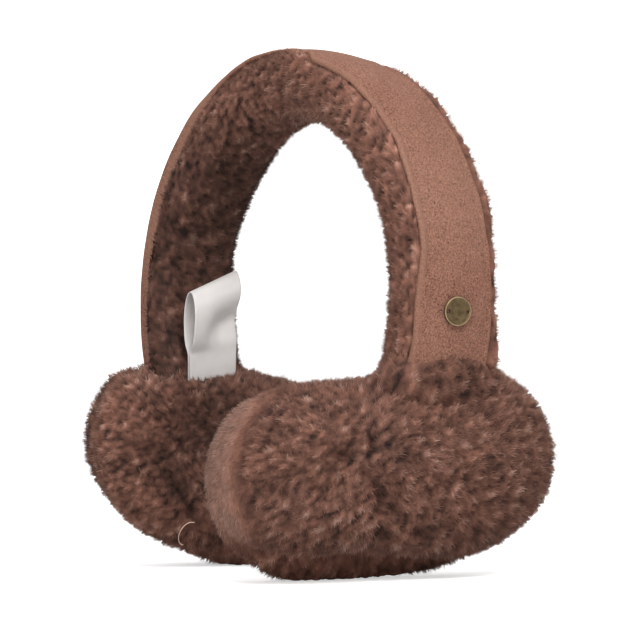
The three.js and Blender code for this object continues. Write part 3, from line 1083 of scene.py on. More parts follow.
    def skin(self, facing: Facing) -> Skin:
        """Makes the surface of one panel.

        Args:
            facing: Which panel.

        Returns:
            The skin, closed at its back and pressed flat where it rests on the floor.
        """
        bm = sheet_bmesh(self.DETAIL, self.DETAIL, lambda u, v: self.dome(u, v, facing))
        shell = close_and_read(bm)
        points, own = shell.points, shell.triangles[shell.sheet]
        height = points[:, 2]
        points[:, 2] = np.where(height < self.SOLE_HEIGHT, 0.9 + 0.25 * height, height)
        points[:, 2] = np.maximum(points[:, 2], self.SOLE_HEIGHT / 2)
        points += vertex_normals(points, own) * (0.9 * soft_noise(points, 22.0, 3))[:, None]
        normals = vertex_normals(points, own)
        comb, calm, painted_shade = self.brush(points, normals, facing)
        rise = np.abs((points - self.centre) @ self.axes[2])
        cover = smoothstep(-0.6, 0.3, rise)
        place = self.place
        creases = place.outer_creases if facing is Facing.OUTER else place.inner_creases
        flat = ((points - self.centre) @ self.axes.T)[:, :2]
        dip = np.zeros(len(points))
        for crease in creases:
            near = crease.nearness(flat)
            points = points - normals * (crease.depth * near)[:, None]
            dip = np.maximum(dip, near * min(1.0, crease.depth / 2.0))
        return Skin(
            points, shell.triangles, normals, comb, cover, calm, dip, painted_shade, shell.chart, shell.sheet
        )

    def grows(self, root: Array, tip: Array) -> Array:
        """Which strands stand clear of the band's leg."""
        return ~self.band.holds(root, -0.5)

    def build(self) -> list[bpy.types.Object]:
        """Builds both panels."""
        pieces = []
        for facing in Facing:
            name = f"pad_{self.word}_{facing.name.lower()}"
            pile = PILES[self.place.side, facing]
            seed = 20 + 3 * self.place.side.value + facing.value
            piece = Fleece(self.skin(facing), pile, seed, self.grows).build(f"{name}_fleece")
            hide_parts(name)
            pieces.append(piece)
        return pieces


@dataclass(frozen=True)
class Shell:
    """A closed sheet read as triangles that face out.

    places are its points' places on the sheet from 0 to 1, chart is each triangle corner's place
    on the bake map, and sheet marks the triangles that don't just close a hole.
    """

    points: Array
    triangles: Array
    places: Array
    chart: Array
    sheet: Array


def close_and_read(bm: bmesh.types.BMesh) -> Shell:
    """Merges a sheet's meeting edges, closes its holes and reads it as triangles facing out.

    Args:
        bm: The sheet in millimetres, which is freed.

    Returns:
        The shell. On the bake map the sheet lies below, and the closed holes in a row above it.
    """
    spots = bm.verts.layers.float_vector.new("spot")
    filled = bm.faces.layers.int.new("filled")
    chart = bm.loops.layers.uv[SURFACE_MAP]
    for vert in bm.verts:
        uv = vert.link_loops[0][chart].uv
        vert[spots] = (uv[0], uv[1], 0.0)
    bmesh.ops.remove_doubles(bm, verts=bm.verts[:], dist=0.02)
    edges = [e for e in bm.edges if e.is_boundary]
    if edges:
        for face in bmesh.ops.holes_fill(bm, edges=edges, sides=0)["faces"]:
            face[filled] = 1
    bmesh.ops.triangulate(bm, faces=bm.faces[:])
    bmesh.ops.recalc_face_normals(bm, faces=bm.faces[:])
    bm.verts.ensure_lookup_table()
    points = np.array([v.co for v in bm.verts])
    triangles = np.array([[v.index for v in f.verts] for f in bm.faces])
    places = np.array([v[spots] for v in bm.verts])[:, :2]
    corners = np.array([[loop[chart].uv for loop in f.loops] for f in bm.faces])
    corners = corners * np.array(SHEET_CHART) + MAP_MARGIN
    closing = np.array([bool(f[filled]) for f in bm.faces])
    patches = np.flatnonzero(closing)
    if len(patches):
        low, high = HOLES_CHART
        cell = SHEET_CHART[0] / len(patches)
        left = MAP_MARGIN + cell * np.arange(len(patches))[:, None, None] * np.array([1.0, 0.0])
        shape = np.array([[0.1 * cell, low], [0.9 * cell, low], [0.5 * cell, high]])
        corners[patches] = left + shape[None]
    bm.free()
    return Shell(points, triangles, places, corners, ~closing)


@dataclass
class SuedeCover:
    """The headband's suede: a strip whose long edges are folded down over the fleece.

    front_edge holds pairs of an angle in degrees and the strip's length there, measured over its
    outer face from its middle line to its front edge. edge_places turns an angle and a side into
    places in millimetres, where the edges' unevenness is read.
    """

    band: Band
    back_rise: float = 4.0
    ripple: float = 0.45
    edge_places: tuple[float, float] = (82.0, 40.0)
    stops: tuple[float, ...] = (0.0, 0.52, 0.56, 0.6, 0.92, 0.96, 1.0)
    front_edge: tuple[tuple[float, float], ...] = (
        (-122.0, 25.0), (-80.0, 25.5), (-60.0, 24.5), (-40.0, 22.0), (-25.0, 19.2), (-15.0, 17.0),
        (0.0, 15.2), (14.0, 14.6), (17.5, 18.8), (25.0, 18.4), (34.0, 17.4), (42.0, 17.2),
        (50.0, 16.2), (56.0, 15.3), (61.5, 15.5), (69.5, 15.8), (77.0, 15.0), (82.0, 15.2),
        (88.0, 17.0), (95.5, 18.2), (103.0, 17.8), (122.0, 17.8),
    )

    def reach(self, angle: Array, side: Array) -> Array:
        """The strip's length from its middle to its edge.

        Args:
            angle: Angles down the band.
            side: -1 for the front edge and 1 for the back edge.

        Returns:
            The length over its outer face.
        """
        band = self.band
        degrees, lengths = np.array(self.front_edge).T
        front = np.interp(np.degrees(angle), degrees, lengths)
        straight = band.width / 2 - band.edge_radius + band.edge_radius * math.pi / 2
        back = straight + band.fold_depth(angle) - band.crowning - band.edge_radius
        back = back - self.back_rise * smoothstep(0.28, 0.45, angle)
        along, apart = self.edge_places
        ragged = 0.3 * soft_noise(np.stack([angle * along, side * apart, side], -1), 9.0, 2)
        return np.where(side < 0, front, back) + ragged

    def outline(self, length: Array, inset: Array) -> tuple[Array, Array]:
        """Follows the section over the strip's face and down its side.

        Args:
            length: Lengths from the middle.
            inset: How far below the outer face each point lies.

        Returns:
            The distance sideways and the depth of each point.
        """
        band = self.band
        radius = band.edge_radius
        flat = band.width / 2 - radius
        arc = radius * math.pi / 2
        turn = np.clip((length - flat) / radius, 0.0, math.pi / 2)
        drop = np.clip(length - flat - arc, 0.0, None)
        inner = radius - inset
        sideways = np.minimum(length, flat) + inner * np.sin(turn)
        crown = band.crowning * np.clip(sideways / flat, 0.0, 1.0) ** 2
        return sideways, inset + crown + inner * (1.0 - np.cos(turn)) + drop

    def surface(self, u: Array, v: Array) -> Array:
        """Lays a square on the closed section, swept along the band.

        Args:
            u: Share of the way along the band.
            v: Share of the way round the section, starting and ending at the front edge.

        Returns:
            The points in millimetres.
        """
        band = self.band
        angle = (2.0 * u - 1.0) * band.end_angle
        across = np.interp(v, self.stops, (-1.0, 1.0, 1.0, 1.0, -1.0, -1.0, -1.0))
        inset = np.interp(v, self.stops, (0.0, 0.0, 0.5, 1.0, 1.0, 0.5, 0.0)) * band.suede_wall
        lip = np.interp(v, self.stops, (0.0, 0.0, 0.5, 0.0, 0.0, 0.5, 0.0))
        side = np.where(across >= 0, 1.0, -1.0)
        length = self.reach(angle, side) * np.abs(across) + lip
        sideways, depth = self.outline(length, inset)
        frames = band.frames(angle)
        points = frames.at(sideways * side, depth)
        edge = smoothstep(0.5, 0.9, np.abs(across))
        lumps = self.ripple * (
            0.45 * soft_noise(points, 18.0, 4) + 0.6 * edge * soft_noise(points, 7.0, 6)
        )
        from_edge = self.reach(angle, side) * (1.0 - np.abs(across))
        swelling = 0.5 * np.exp(-(((from_edge - 1.2) / 1.0) ** 2))
        rim = swelling - 0.35 * np.exp(-(((from_edge - 3.2) / 0.8) ** 2))
        lumps = lumps + rim * (inset < band.suede_wall)
        return points + frames.out * lumps[:, None]

    def build(self) -> bpy.types.Object:
        """Builds the cover as one closed strip."""
        bm = sheet_bmesh(210, 75, self.surface)
        bmesh.ops.remove_doubles(bm, verts=bm.verts[:], dist=0.01)
        edges = [e for e in bm.edges if e.is_boundary]
        bmesh.ops.holes_fill(bm, edges=edges, sides=0)
        piece = finish_bmesh("headband_suede", bm)
        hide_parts("suede_band")
        return piece


class Lining:
    """The band's fleece: it runs under the suede from pad to pad and bulges out below its edges."""

    KNOTS = (0.0, 0.1, 0.17, 0.27, 0.42, 0.6, 0.8, 1.0)
    SEED = 11

    def __init__(self, band: Band, cover: SuedeCover) -> None:
        """Takes the band's sizes and the suede that the fleece meets."""
        self.band = band
        self.cover = cover

    def knots(self, angle: Array, side: Array) -> tuple[Array, Array]:
        """The section's guide points, from its middle under the suede to its middle inside.

        Args:
            angle: Angles down the band.
            side: -1 in front and 1 behind.

        Returns:
            The guide points' distances sideways and depths, one row for each guide point.
        """
        band = self.band
        edge, at = self.cover.outline(self.cover.reach(angle, side), np.zeros_like(angle))
        wall = band.suede_wall
        deep = band.pile_depth(angle) - 1.6 + 2.0 * smoothstep(0.6, 1.6, angle)
        full = band.width / 2 + band.overhang - 2.2
        lean = np.where(side < 0, smoothstep(-0.5, 0.6, -angle), 0.0)
        zero = np.zeros_like(angle)
        sideways = [
            zero, edge - 3.2, edge + 0.5 - 0.5 * lean, np.maximum(edge + 2.2, 17.8) - 1.2 * lean,
            full - 0.8 * lean, zero + full - 0.8, zero + 0.66 * full, zero,
        ]
        depth = [
            zero + wall + 0.8, np.maximum(at - 2.0, 0.0) + wall + 0.6, at + 0.5 + 0.5 * lean,
            at + 2.6 + lean, 0.42 * deep + 0.25 * at, 0.72 * deep, 0.95 * deep, deep,
        ]
        return np.stack(sideways), np.stack(depth)

    def section(self, u: Array, v: Array) -> Array:
        """Lays a square round and along the lining.

        Args:
            u: Share of the way from the left end to the right end.
            v: Share of the way round, from the top inside the suede and back to it.

        Returns:
            The points in millimetres.
        """
        angle = (2.0 * u - 1.0) * (self.band.end_angle - self.band.end_gap)
        side = np.where(v < 0.5, -1.0, 1.0)
        sideways, depth = self.knots(angle, side)
        way = 1.0 - np.abs(2.0 * v - 1.0)
        pick = np.arange(len(u))
        place = np.zeros((2, len(u)))
        knots = np.array(self.KNOTS)
        shifts = (-0.05, -0.025, 0.0, 0.025, 0.05)
        for shift in shifts:
            moved = way + shift
            over = np.where((moved < 0) | (moved > 1), -1.0, 1.0)
            moved = np.abs(np.where(moved > 1, 2.0 - moved, moved))
            low = np.clip(np.searchsorted(knots, moved, side="right") - 1, 0, len(knots) - 2)
            share = (moved - knots[low]) / (knots[low + 1] - knots[low])
            for row, values in enumerate((sideways, depth)):
                value = values[low, pick] * (1 - share) + values[low + 1, pick] * share
                place[row] += value * (over if row == 0 else 1.0) / len(shifts)
        return self.band.frames(angle).at(place[0] * side, place[1])

    def skin(self) -> Skin:
        """Makes the lining's surface."""
        bm = sheet_bmesh(220, 64, self.section)
        shell = close_and_read(bm)
        points, own = shell.points, shell.triangles[shell.sheet]
        way = 1.0 - np.abs(2.0 * shell.places[:, 1] - 1.0)
        cover = smoothstep(0.1, 0.17, way)
        points += vertex_normals(points, own) * (1.0 * cover * soft_noise(points, 24.0, 8))[:, None]
        angle, sideways, _ = self.band.locate(points)
        frames = self.band.frames(angle)
        fringe = smoothstep(0.42, 0.22, way) * smoothstep(0.1, 0.16, way)
        fringe *= (sideways > 0) * smoothstep(0.28, 0.45, angle)
        swell = 0.75 + 0.5 * soft_noise(points, 9.0, 10)
        points += (frames.across * 2.4 + frames.out * 1.2) * (fringe * swell)[:, None]
        normals = vertex_normals(points, own)
        down = unit(np.cross(frames.across, frames.out)) * -np.sign(angle)[:, None]
        wander = soft_noise(points, 26.0, 9)[:, None]
        sidewards = np.sign(sideways)[:, None] * 0.4 + 0.5 * wander
        comb = down * (0.7 + 0.2 * wander) + frames.across * sidewards
        comb -= frames.out * 0.45
        comb += (frames.across * 1.2 + frames.out * 0.55) * fringe[:, None]
        comb -= normals * (comb * normals).sum(1, keepdims=True)
        calm = 0.75 * (1.0 - smoothstep(0.2, 0.34, way)) * smoothstep(0.2, -0.6, angle) * (sideways < 0)
        # Painted shading on the inside of the left leg, where it lies in shadow
        painted_shade = 2.2 * smoothstep(0.28, 0.5, way) * smoothstep(-0.3, -0.9, angle)
        # Painted light on the crown, lit from above, and in the back fringe, as light shining through
        # it
        painted_shade -= 0.5 * self.band.crown_share(angle) + 1.6 * fringe
        # Painted light on the front of the right leg
        painted_shade -= 1.1 * smoothstep(0.2, 0.8, angle) * (sideways < 0)
        dip = np.zeros(len(points))
        return Skin(
            points, shell.triangles, normals, unit(comb), cover, calm, dip, painted_shade, shell.chart,
            shell.sheet,
        )

    def grows(self, root: Array, tip: Array) -> Array:
        """Which strands stand clear of the pads and don't pierce the suede."""
        free = np.ones(len(root), bool)
        for place in (RIGHT_PAD, LEFT_PAD):
            unpressed = root - place.pressed(root, Facing.INNER)
            free &= ~PAD.fills(unpressed, place, 5.5)
        angle, sideways, depth = self.band.locate(tip)
        side = np.where(sideways < 0, -1.0, 1.0)
        edge, at = self.cover.outline(self.cover.reach(angle, side), np.zeros_like(angle))
        above = (np.abs(sideways) < edge - 0.6) & (depth < at + 0.9)
        return free & ~above & ((depth > -0.4) | (np.abs(sideways) > self.band.width / 2))

    def build(self) -> bpy.types.Object:
        """Builds the lining."""
        piece = Fleece(self.skin(), LINING_PILE, self.SEED, self.grows).build("band_fleece")
        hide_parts("band_fleece_lining")
        return piece


@dataclass
class Badge:
    """The small round plate sewn to the right leg through two holes. Its face is left bare."""

    band: Band
    diameter: float = 10.6
    thickness: float = 1.1
    hole: float = 1.5
    hole_spacing: float = 7.6
    angle: float = math.radians(96.5)
    sideways: float = -1.3
    tilt: float = math.radians(10.0)

    def seat(self) -> Matrix:
        """Where the plate's back rests on the suede, in millimetres."""
        at = self.band.frames(np.array([self.angle]))
        depth = -0.3 - self.diameter / 4 * math.sin(self.tilt)
        origin = at.at(np.array([self.sideways]), np.array([depth]))[0]
        out, across = at.out[0], at.across[0]
        basis = Matrix(np.stack([across, np.cross(out, across), out], 1).tolist()).to_4x4()
        return Matrix.Translation(origin) @ basis @ Matrix.Rotation(-self.tilt, 4, "Y")

    def plate(self) -> bpy.types.Object:
        """Builds the plate with its raised rim and its holes."""
        r, t = self.diameter / 2, self.thickness
        outline = [
            (0.0, 0.0), (r - 0.25, 0.0), (r, 0.22), (r, t - 0.25), (r - 0.12, t - 0.06),
            (r - 0.3, t), (r - 0.55, t - 0.03), (r - 0.8, t - 0.27), (r - 1.1, t - 0.32),
            (r - 1.5, t - 0.32), (0.0, t - 0.32),
        ]
        plate = link("badge_plate_blank", freed("badge_plate_blank", spun(outline, 96, 1e-3)))
        drill = bmesh.new()
        for side in (-1, 1):
            bmesh.ops.create_cone(
                drill, segments=24, radius1=self.hole / 2, radius2=self.hole / 2, depth=4.0,
                cap_ends=True, matrix=Matrix.Translation((side * self.hole_spacing / 2, 0, t / 2)),
            )
        cutter = link("badge_drill", freed("badge_drill", drill))
        cut = plate.modifiers.new("holes", "BOOLEAN")
        cut.operation, cut.object, cut.solver = "DIFFERENCE", cutter, "EXACT"
        graph = bpy.context.evaluated_depsgraph_get()
        drilled = bmesh.new()
        drilled.from_mesh(plate.evaluated_get(graph).to_mesh())
        for blank in (plate, cutter):
            bpy.data.objects.remove(blank)
        wear = drilled.verts.layers.float.new("wear")
        for vert in drilled.verts:
            reach = math.hypot(vert.co.x, vert.co.y)
            vert[wear] = 1.0 if r - 0.4 < reach < r - 0.05 and vert.co.z > t - 0.2 else 0.0
        bmesh.ops.transform(drilled, matrix=self.seat(), verts=drilled.verts[:])
        piece = finish_bmesh("badge_plate", drilled, smooth=False)
        soften(piece, 0.08)
        return piece

    def stitches(self) -> bpy.types.Object:
        """Builds the threads that hold the plate: each runs from its hole, under the rim, and out."""
        bm = bmesh.new()
        for side in (-1, 1):
            hole = side * self.hole_spacing / 2
            rim = side * self.diameter / 2
            foot = -0.9 - 1.5 * (side > 0) * self.diameter / 2 * math.sin(self.tilt)
            for shift in (-0.25, 0.25):
                path = [
                    (hole - side * 0.3, shift, 0.45), (hole, shift, 0.1),
                    (hole + side * 0.7, shift, -0.32), (rim + side * 0.3, shift * 1.6, -0.3),
                    (rim + side * 1.2, shift * 2.2, 0.0), (rim + side * 1.9, shift * 2.6, foot),
                ]
                tube(bm, [Vector(p) for p in path], 0.2, 8, 5)
        bmesh.ops.transform(bm, matrix=self.seat(), verts=bm.verts[:])
        return finish_bmesh("badge_thread", bm)

    def build(self) -> list[bpy.types.Object]:
        """Builds the plate and its thread."""
        plate = self.plate()
        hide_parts("badge")
        thread = self.stitches()
        return [plate, thread]


def tube(
    bm: bmesh.types.BMesh, path: Sequence[Vector], radius: float, sides: int, steps: int,
    taper: float = 1.0,
) -> None:
    """Adds a round closed tube along a smooth path.

    Args:
        bm: Takes the tube.
        path: Points that the path passes through.
        radius: The tube's radius at its start.
        sides: Sides of its section.
        steps: Rings between two points of the path.
        taper: The radius at its end as a share of the start's.
    """
    line: list[Vector] = []
    padded = [path[0] * 2 - path[1], *path, path[-1] * 2 - path[-2]]
    for a, b, c, d in zip(padded, padded[1:], padded[2:], padded[3:]):
        for k in range(steps):
            s = k / steps
            bend = (2 * a - 5 * b + 4 * c - d) * s**2 + (3 * b - a - 3 * c + d) * s**3
            line.append(0.5 * (2 * b + (c - a) * s + bend))
    line.append(path[-1].copy())
    side = (line[1] - line[0]).orthogonal().normalized()
    rings = []
    for i, point in enumerate(line):
        ahead = (line[min(i + 1, len(line) - 1)] - line[max(i - 1, 0)]).normalized()
        side = (side - ahead * side.dot(ahead)).normalized()
        other = ahead.cross(side)
        thin = radius * (1 + (taper - 1) * i / (len(line) - 1))
        rings.append(
            [
                bm.verts.new(point + (side * math.cos(t) + other * math.sin(t)) * thin)
                for t in (2 * math.pi * k / sides for k in range(sides))
            ]
        )
    for low, high in zip(rings, rings[1:]):
        for k in range(sides):
            bm.faces.new((low[k], low[(k + 1) % sides], high[(k + 1) % sides], high[k]))
    bm.faces.new(rings[0][::-1])
    bm.faces.new(rings[-1])


@dataclass(frozen=True)
class StrayFibre:
    """A pale springy fibre that curls out of the left pad's inner wool.

    middle is the ring's centre on the pad's own axes, and slope follows the dome under it.
    """

    middle: tuple[float, float, float] = (20.4, -33.0, -23.4)
    half_width: float = 3.5
    half_height: float = 4.9
    slope: float = 0.3
    thickness: float = 0.3

    def build(self) -> bpy.types.Object:
        """Builds the fibre as an open ring whose ends dip into the wool."""
        centre, axes = PAD.axes(LEFT_PAD)
        path = []
        for k in range(12):
            turn = math.radians(105.0 - 215.0 * k / 11)
            sunk = 2.2 * (k in (0, 11))
            tall = self.half_height * math.sin(turn)
            local = np.array(self.middle)
            local += [self.half_width * math.cos(turn), tall, sunk - self.slope * tall]
            path.append(Vector(local @ axes + centre))
        bm = bmesh.new()
        tube(bm, path, self.thickness / 2, 6, 4, taper=0.6)
        piece = finish_bmesh("stray_fibre", bm)
        for label, level in (("pile_reach", 1.0), ("pile_tone_and_painted_shade", 1.8)):
            store(piece.data, label, np.full(len(piece.data.vertices), level))
        return piece


@dataclass
class CareLabel:
    """A folded satin ribbon that stands out of the left pad beside the leg. It is left bare."""

    band: Band
    width: float = 20.0
    height: float = 37.0
    wall: float = 0.45
    loop_gap: float = 11.0
    sunk: float = 9.0
    pinch: float = 1.15
    slant: float = math.radians(24.0)
    lean: float = math.radians(3.0)
    angle: float = math.radians(117.0)
    along: float = -1.0

    def seat(self) -> tuple[Array, Array]:
        """The label's foot, and its inward, upward and sideways directions as rows."""
        at = self.band.frames(np.array([-self.angle]))
        deep = float(self.band.pile_depth(np.array([-self.angle]))[0]) + 5.4
        foot = at.at(np.array([self.along]), np.array([deep]))[0]
        out = at.out[0]
        inwards = unit(np.array([-out[0], -out[1], 0.0]))
        upwards = unit(np.array([0.0, 0.0, 1.0]) + inwards * math.sin(self.lean))
        return foot, np.stack([inwards, upwards, np.cross(inwards, upwards)])

    def loop(self, share: Array) -> Array:
        """The ribbon's path: up one side, over the fold and down the other.

        Args:
            share: Share of the way along the ribbon.

        Returns:
            The path's points, inwards and upwards.
        """
        half = self.loop_gap / 2
        heights = np.array([0.0, 0.12, 0.24, 0.38, 0.53, 0.68, 0.78, 0.86, 0.93, 0.965, 0.99, 1.0])
        widths = np.array([0.16, 0.16, 0.2, 0.62, 0.88, 1.0, 0.97, 0.86, 0.63, 0.45, 0.2, 0.0])
        one = np.stack([widths * half, heights * (self.height - self.wall / 2)], -1)
        one[0, 1] = -self.sunk
        path = np.concatenate([one, (one * [-1, 1])[-2::-1]])
        length = np.concatenate([[0.0], np.cumsum(np.linalg.norm(np.diff(path, axis=0), axis=1))])
        at = share * length[-1]
        smooth = np.zeros((len(share), 2))
        for nudge in (-1.2, -0.6, 0.0, 0.6, 1.2):
            near = np.clip(at + nudge, 0.0, length[-1])
            smooth += np.stack([np.interp(near, length, path[:, k]) for k in range(2)], -1) / 5
        return smooth

    def surface(self, u: Array, v: Array) -> Array:
        """Lays a square on the ribbon: u along it and v across it."""
        foot, basis = self.seat()
        path = self.loop(u)
        sideways = (v - 0.5) * self.width
        rise = path[:, 1] - math.tan(self.slant) * sideways * smoothstep(4.0, 20.0, path[:, 1])
        share = path[:, 1] / self.height
        waist = np.exp(-(((share - 0.47) / 0.17) ** 2)) * smoothstep(0.0, 0.6, 1.0 - 1.25 * v)
        inwards = path[:, 0] * (1.0 - self.pinch * waist * (path[:, 0] > 0))
        puff = 0.35 * soft_noise(np.stack([path[:, 0] * 2, path[:, 1], sideways], -1), 14.0, 12)
        local = np.stack([inwards + puff, rise, sideways], -1)
        return local @ basis + foot

    def build(self) -> bpy.types.Object:
        """Builds the ribbon."""
        piece = finish_bmesh("label_ribbon", sheet_bmesh(120, 20, self.surface))
        solid = piece.modifiers.new("thickness", "SOLIDIFY")
        solid.thickness, solid.offset = self.wall * MM, 0.0
        soften(piece, 0.12)
        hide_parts("care_label")
        return piece


class Shader:
    """A material under construction: adds nodes and links in short calls."""

    def __init__(self, name: str) -> None:
        """Starts a material of that name with a Principled shader."""
        self.material = bpy.data.materials.new(name)
        self.material.use_nodes = True
        self.tree = self.material.node_tree
        self.surface = self.tree.nodes["Principled BSDF"]

    def add(
        self, kind: str, inputs: dict[str | int, object] | None = None, **settings: object
    ) -> bpy.types.Node:
        """Adds a node.

        Args:
            kind: The node's type.
            inputs: Values or output sockets for its inputs.
            settings: Its other settings.

        Returns:
            The node.
        """
        return add_node(self.tree, kind, inputs, **settings)

    def patchy(
        self, patches: bpy.types.NodeTree, colour: object, hue: int, size: float, amount: float
    ) -> bpy.types.Node:
        """Lays irregular patches of a hue over a colour.

        Args:
            patches: The group that mixes the two.
            colour: The colour, or the output that gives it.
            hue: The patches' screen code.
            size: How finely they are strewn, in lumps to a metre.
            amount: How strongly they show, from 0 to 1.

        Returns:
            The group's node, with the outputs Color and Mask.
        """
        inputs = {"Base": colour, "Patch": tone(hue), "Size": size, "Amount": amount}
        return self.add("ShaderNodeGroup", inputs, node_tree=patches)

    def bump(
        self, height: bpy.types.NodeSocket, strength: float, distance: float
    ) -> bpy.types.NodeSocket:
        """Turns a pattern of heights into a normal, with the full height's distance in metres."""
        inputs = {"Height": height, "Strength": strength, "Distance": distance}
        return self.add("ShaderNodeBump", inputs).outputs["Normal"]

    def feed(self, **sockets: object) -> None:
        """Sets or links the shader's inputs, named with underscores for spaces."""
        for word, value in sockets.items():
            put(self.tree, self.surface.inputs[word.replace("_", " ")], value)


def put(tree: bpy.types.NodeTree, socket: bpy.types.NodeSocket, value: object) -> None:
    """Links an output to a socket, or sets the socket's value."""
    if isinstance(value, bpy.types.NodeSocket):
        tree.links.new(value, socket)
    else:
        socket.default_value = value


def add_node(
    tree: bpy.types.NodeTree, kind: str, inputs: dict[str | int, object] | None = None,
    **settings: object,
) -> bpy.types.Node:
    """Adds a node to a tree.

    Args:
        tree: Takes the node.
        kind: The node's type.
        inputs: Values or output sockets for its inputs.
        settings: Its other settings.

    Returns:
        The node.
    """
    node = tree.nodes.new(kind)
    for word, value in settings.items():
        setattr(node, word, value)
    for key, value in (inputs or {}).items():
        put(tree, node.inputs[key], value)
    return node


def tone(hexcode: int) -> tuple[float, float, float, float]:
    """A colour from its screen code, as the shader wants it."""
    parts = [((hexcode >> shift) & 255) / 255 for shift in (16, 8, 0)]
    linear = [c / 12.92 if c <= 0.04045 else ((c + 0.055) / 1.055) ** 2.4 for c in parts]
    return (*linear, 1.0)


def mottle_group() -> bpy.types.NodeTree:
    """A group that mixes two colours in soft irregular patches."""
    tree = bpy.data.node_groups.new("Patches", "ShaderNodeTree")
    face = tree.interface
    for word, way, kind in (
        ("Base", "INPUT", "Color"), ("Patch", "INPUT", "Color"), ("Size", "INPUT", "Float"),
        ("Amount", "INPUT", "Float"), ("Color", "OUTPUT", "Color"), ("Mask", "OUTPUT", "Float"),
    ):
        face.new_socket(word, in_out=way, socket_type=f"NodeSocket{kind}")
    start, end = tree.nodes.new("NodeGroupInput"), tree.nodes.new("NodeGroupOutput")
    place = add_node(tree, "ShaderNodeTexCoord")
    noise = add_node(
        tree, "ShaderNodeTexNoise",
        {
            "Vector": place.outputs["Object"], "Scale": start.outputs["Size"],
            "Detail": 5.0, "Roughness": 0.62,
        },
    )
    spread = add_node(
        tree, "ShaderNodeMapRange",
        {"Value": noise.outputs["Fac"], "From Min": 0.34, "From Max": 0.66},
    )
    mask = add_node(
        tree, "ShaderNodeMath",
        {0: spread.outputs["Result"], 1: start.outputs["Amount"]}, operation="MULTIPLY",
    )
    mix = add_node(
        tree, "ShaderNodeMix",
        {0: mask.outputs[0], 6: start.outputs["Base"], 7: start.outputs["Patch"]}, data_type="RGBA",
    )
    put(tree, end.inputs["Color"], mix.outputs[2])
    put(tree, end.inputs["Mask"], mask.outputs[0])
    return tree


@dataclass(frozen=True)
class FleeceFinish:
    """Dyed sheepskin wool, paler and pinker at its tips, with painted shading dark in its crevices."""

    name: str
    # Nearly black: painted shading in the crevices between locks
    root: int = 0x120907
    middle: int = 0x6C4A3E
    tip: int = 0xBA9E90
    warm: int = 0x704838

    def make(self, patches: bpy.types.NodeTree) -> bpy.types.Material:
        """Makes the material."""
        shader = Shader(self.name)
        reach = shader.add("ShaderNodeAttribute", attribute_name="pile_reach")
        # Colour by reach: nearly black in the crevices as painted shading, pale at the tips
        pale_tips_and_painted_crevice_shading = shader.add("ShaderNodeValToRGB", {"Fac": reach.outputs["Fac"]})
        stops = pale_tips_and_painted_crevice_shading.color_ramp.elements
        stops[0].position, stops[0].color = 0.08, tone(self.root)
        stops[1].position, stops[1].color = 1.0, tone(self.tip)
        middle = stops.new(0.5)
        middle.color = tone(self.middle)
        blotch = shader.patchy(patches, pale_tips_and_painted_crevice_shading.outputs["Color"], self.warm, 60.0, 0.2)
        # This attribute holds each lock's own tone with the painted shading and painted light
        own = shader.add("ShaderNodeAttribute", attribute_name="pile_tone_and_painted_shade")
        bright = shader.add(
            "ShaderNodeMapRange",
            {
                "Value": own.outputs["Fac"], "From Min": -3.0, "From Max": 3.0,
                "To Min": 0.4, "To Max": 1.6,
            },
        )
        # Scales the colour's value by that tone, which paints the shading and light into the colour
        painted_shade = shader.add(
            "ShaderNodeHueSaturation",
            {"Value": bright.outputs["Result"], "Color": blotch.outputs["Color"]},
        )
        shader.feed(Base_Color=painted_shade.outputs["Color"])
        shader.feed(Roughness=0.8, Specular_IOR_Level=0.2)
        shader.feed(Sheen_Weight=0.06, Sheen_Tint=tone(0xB09488))
        return shader.material


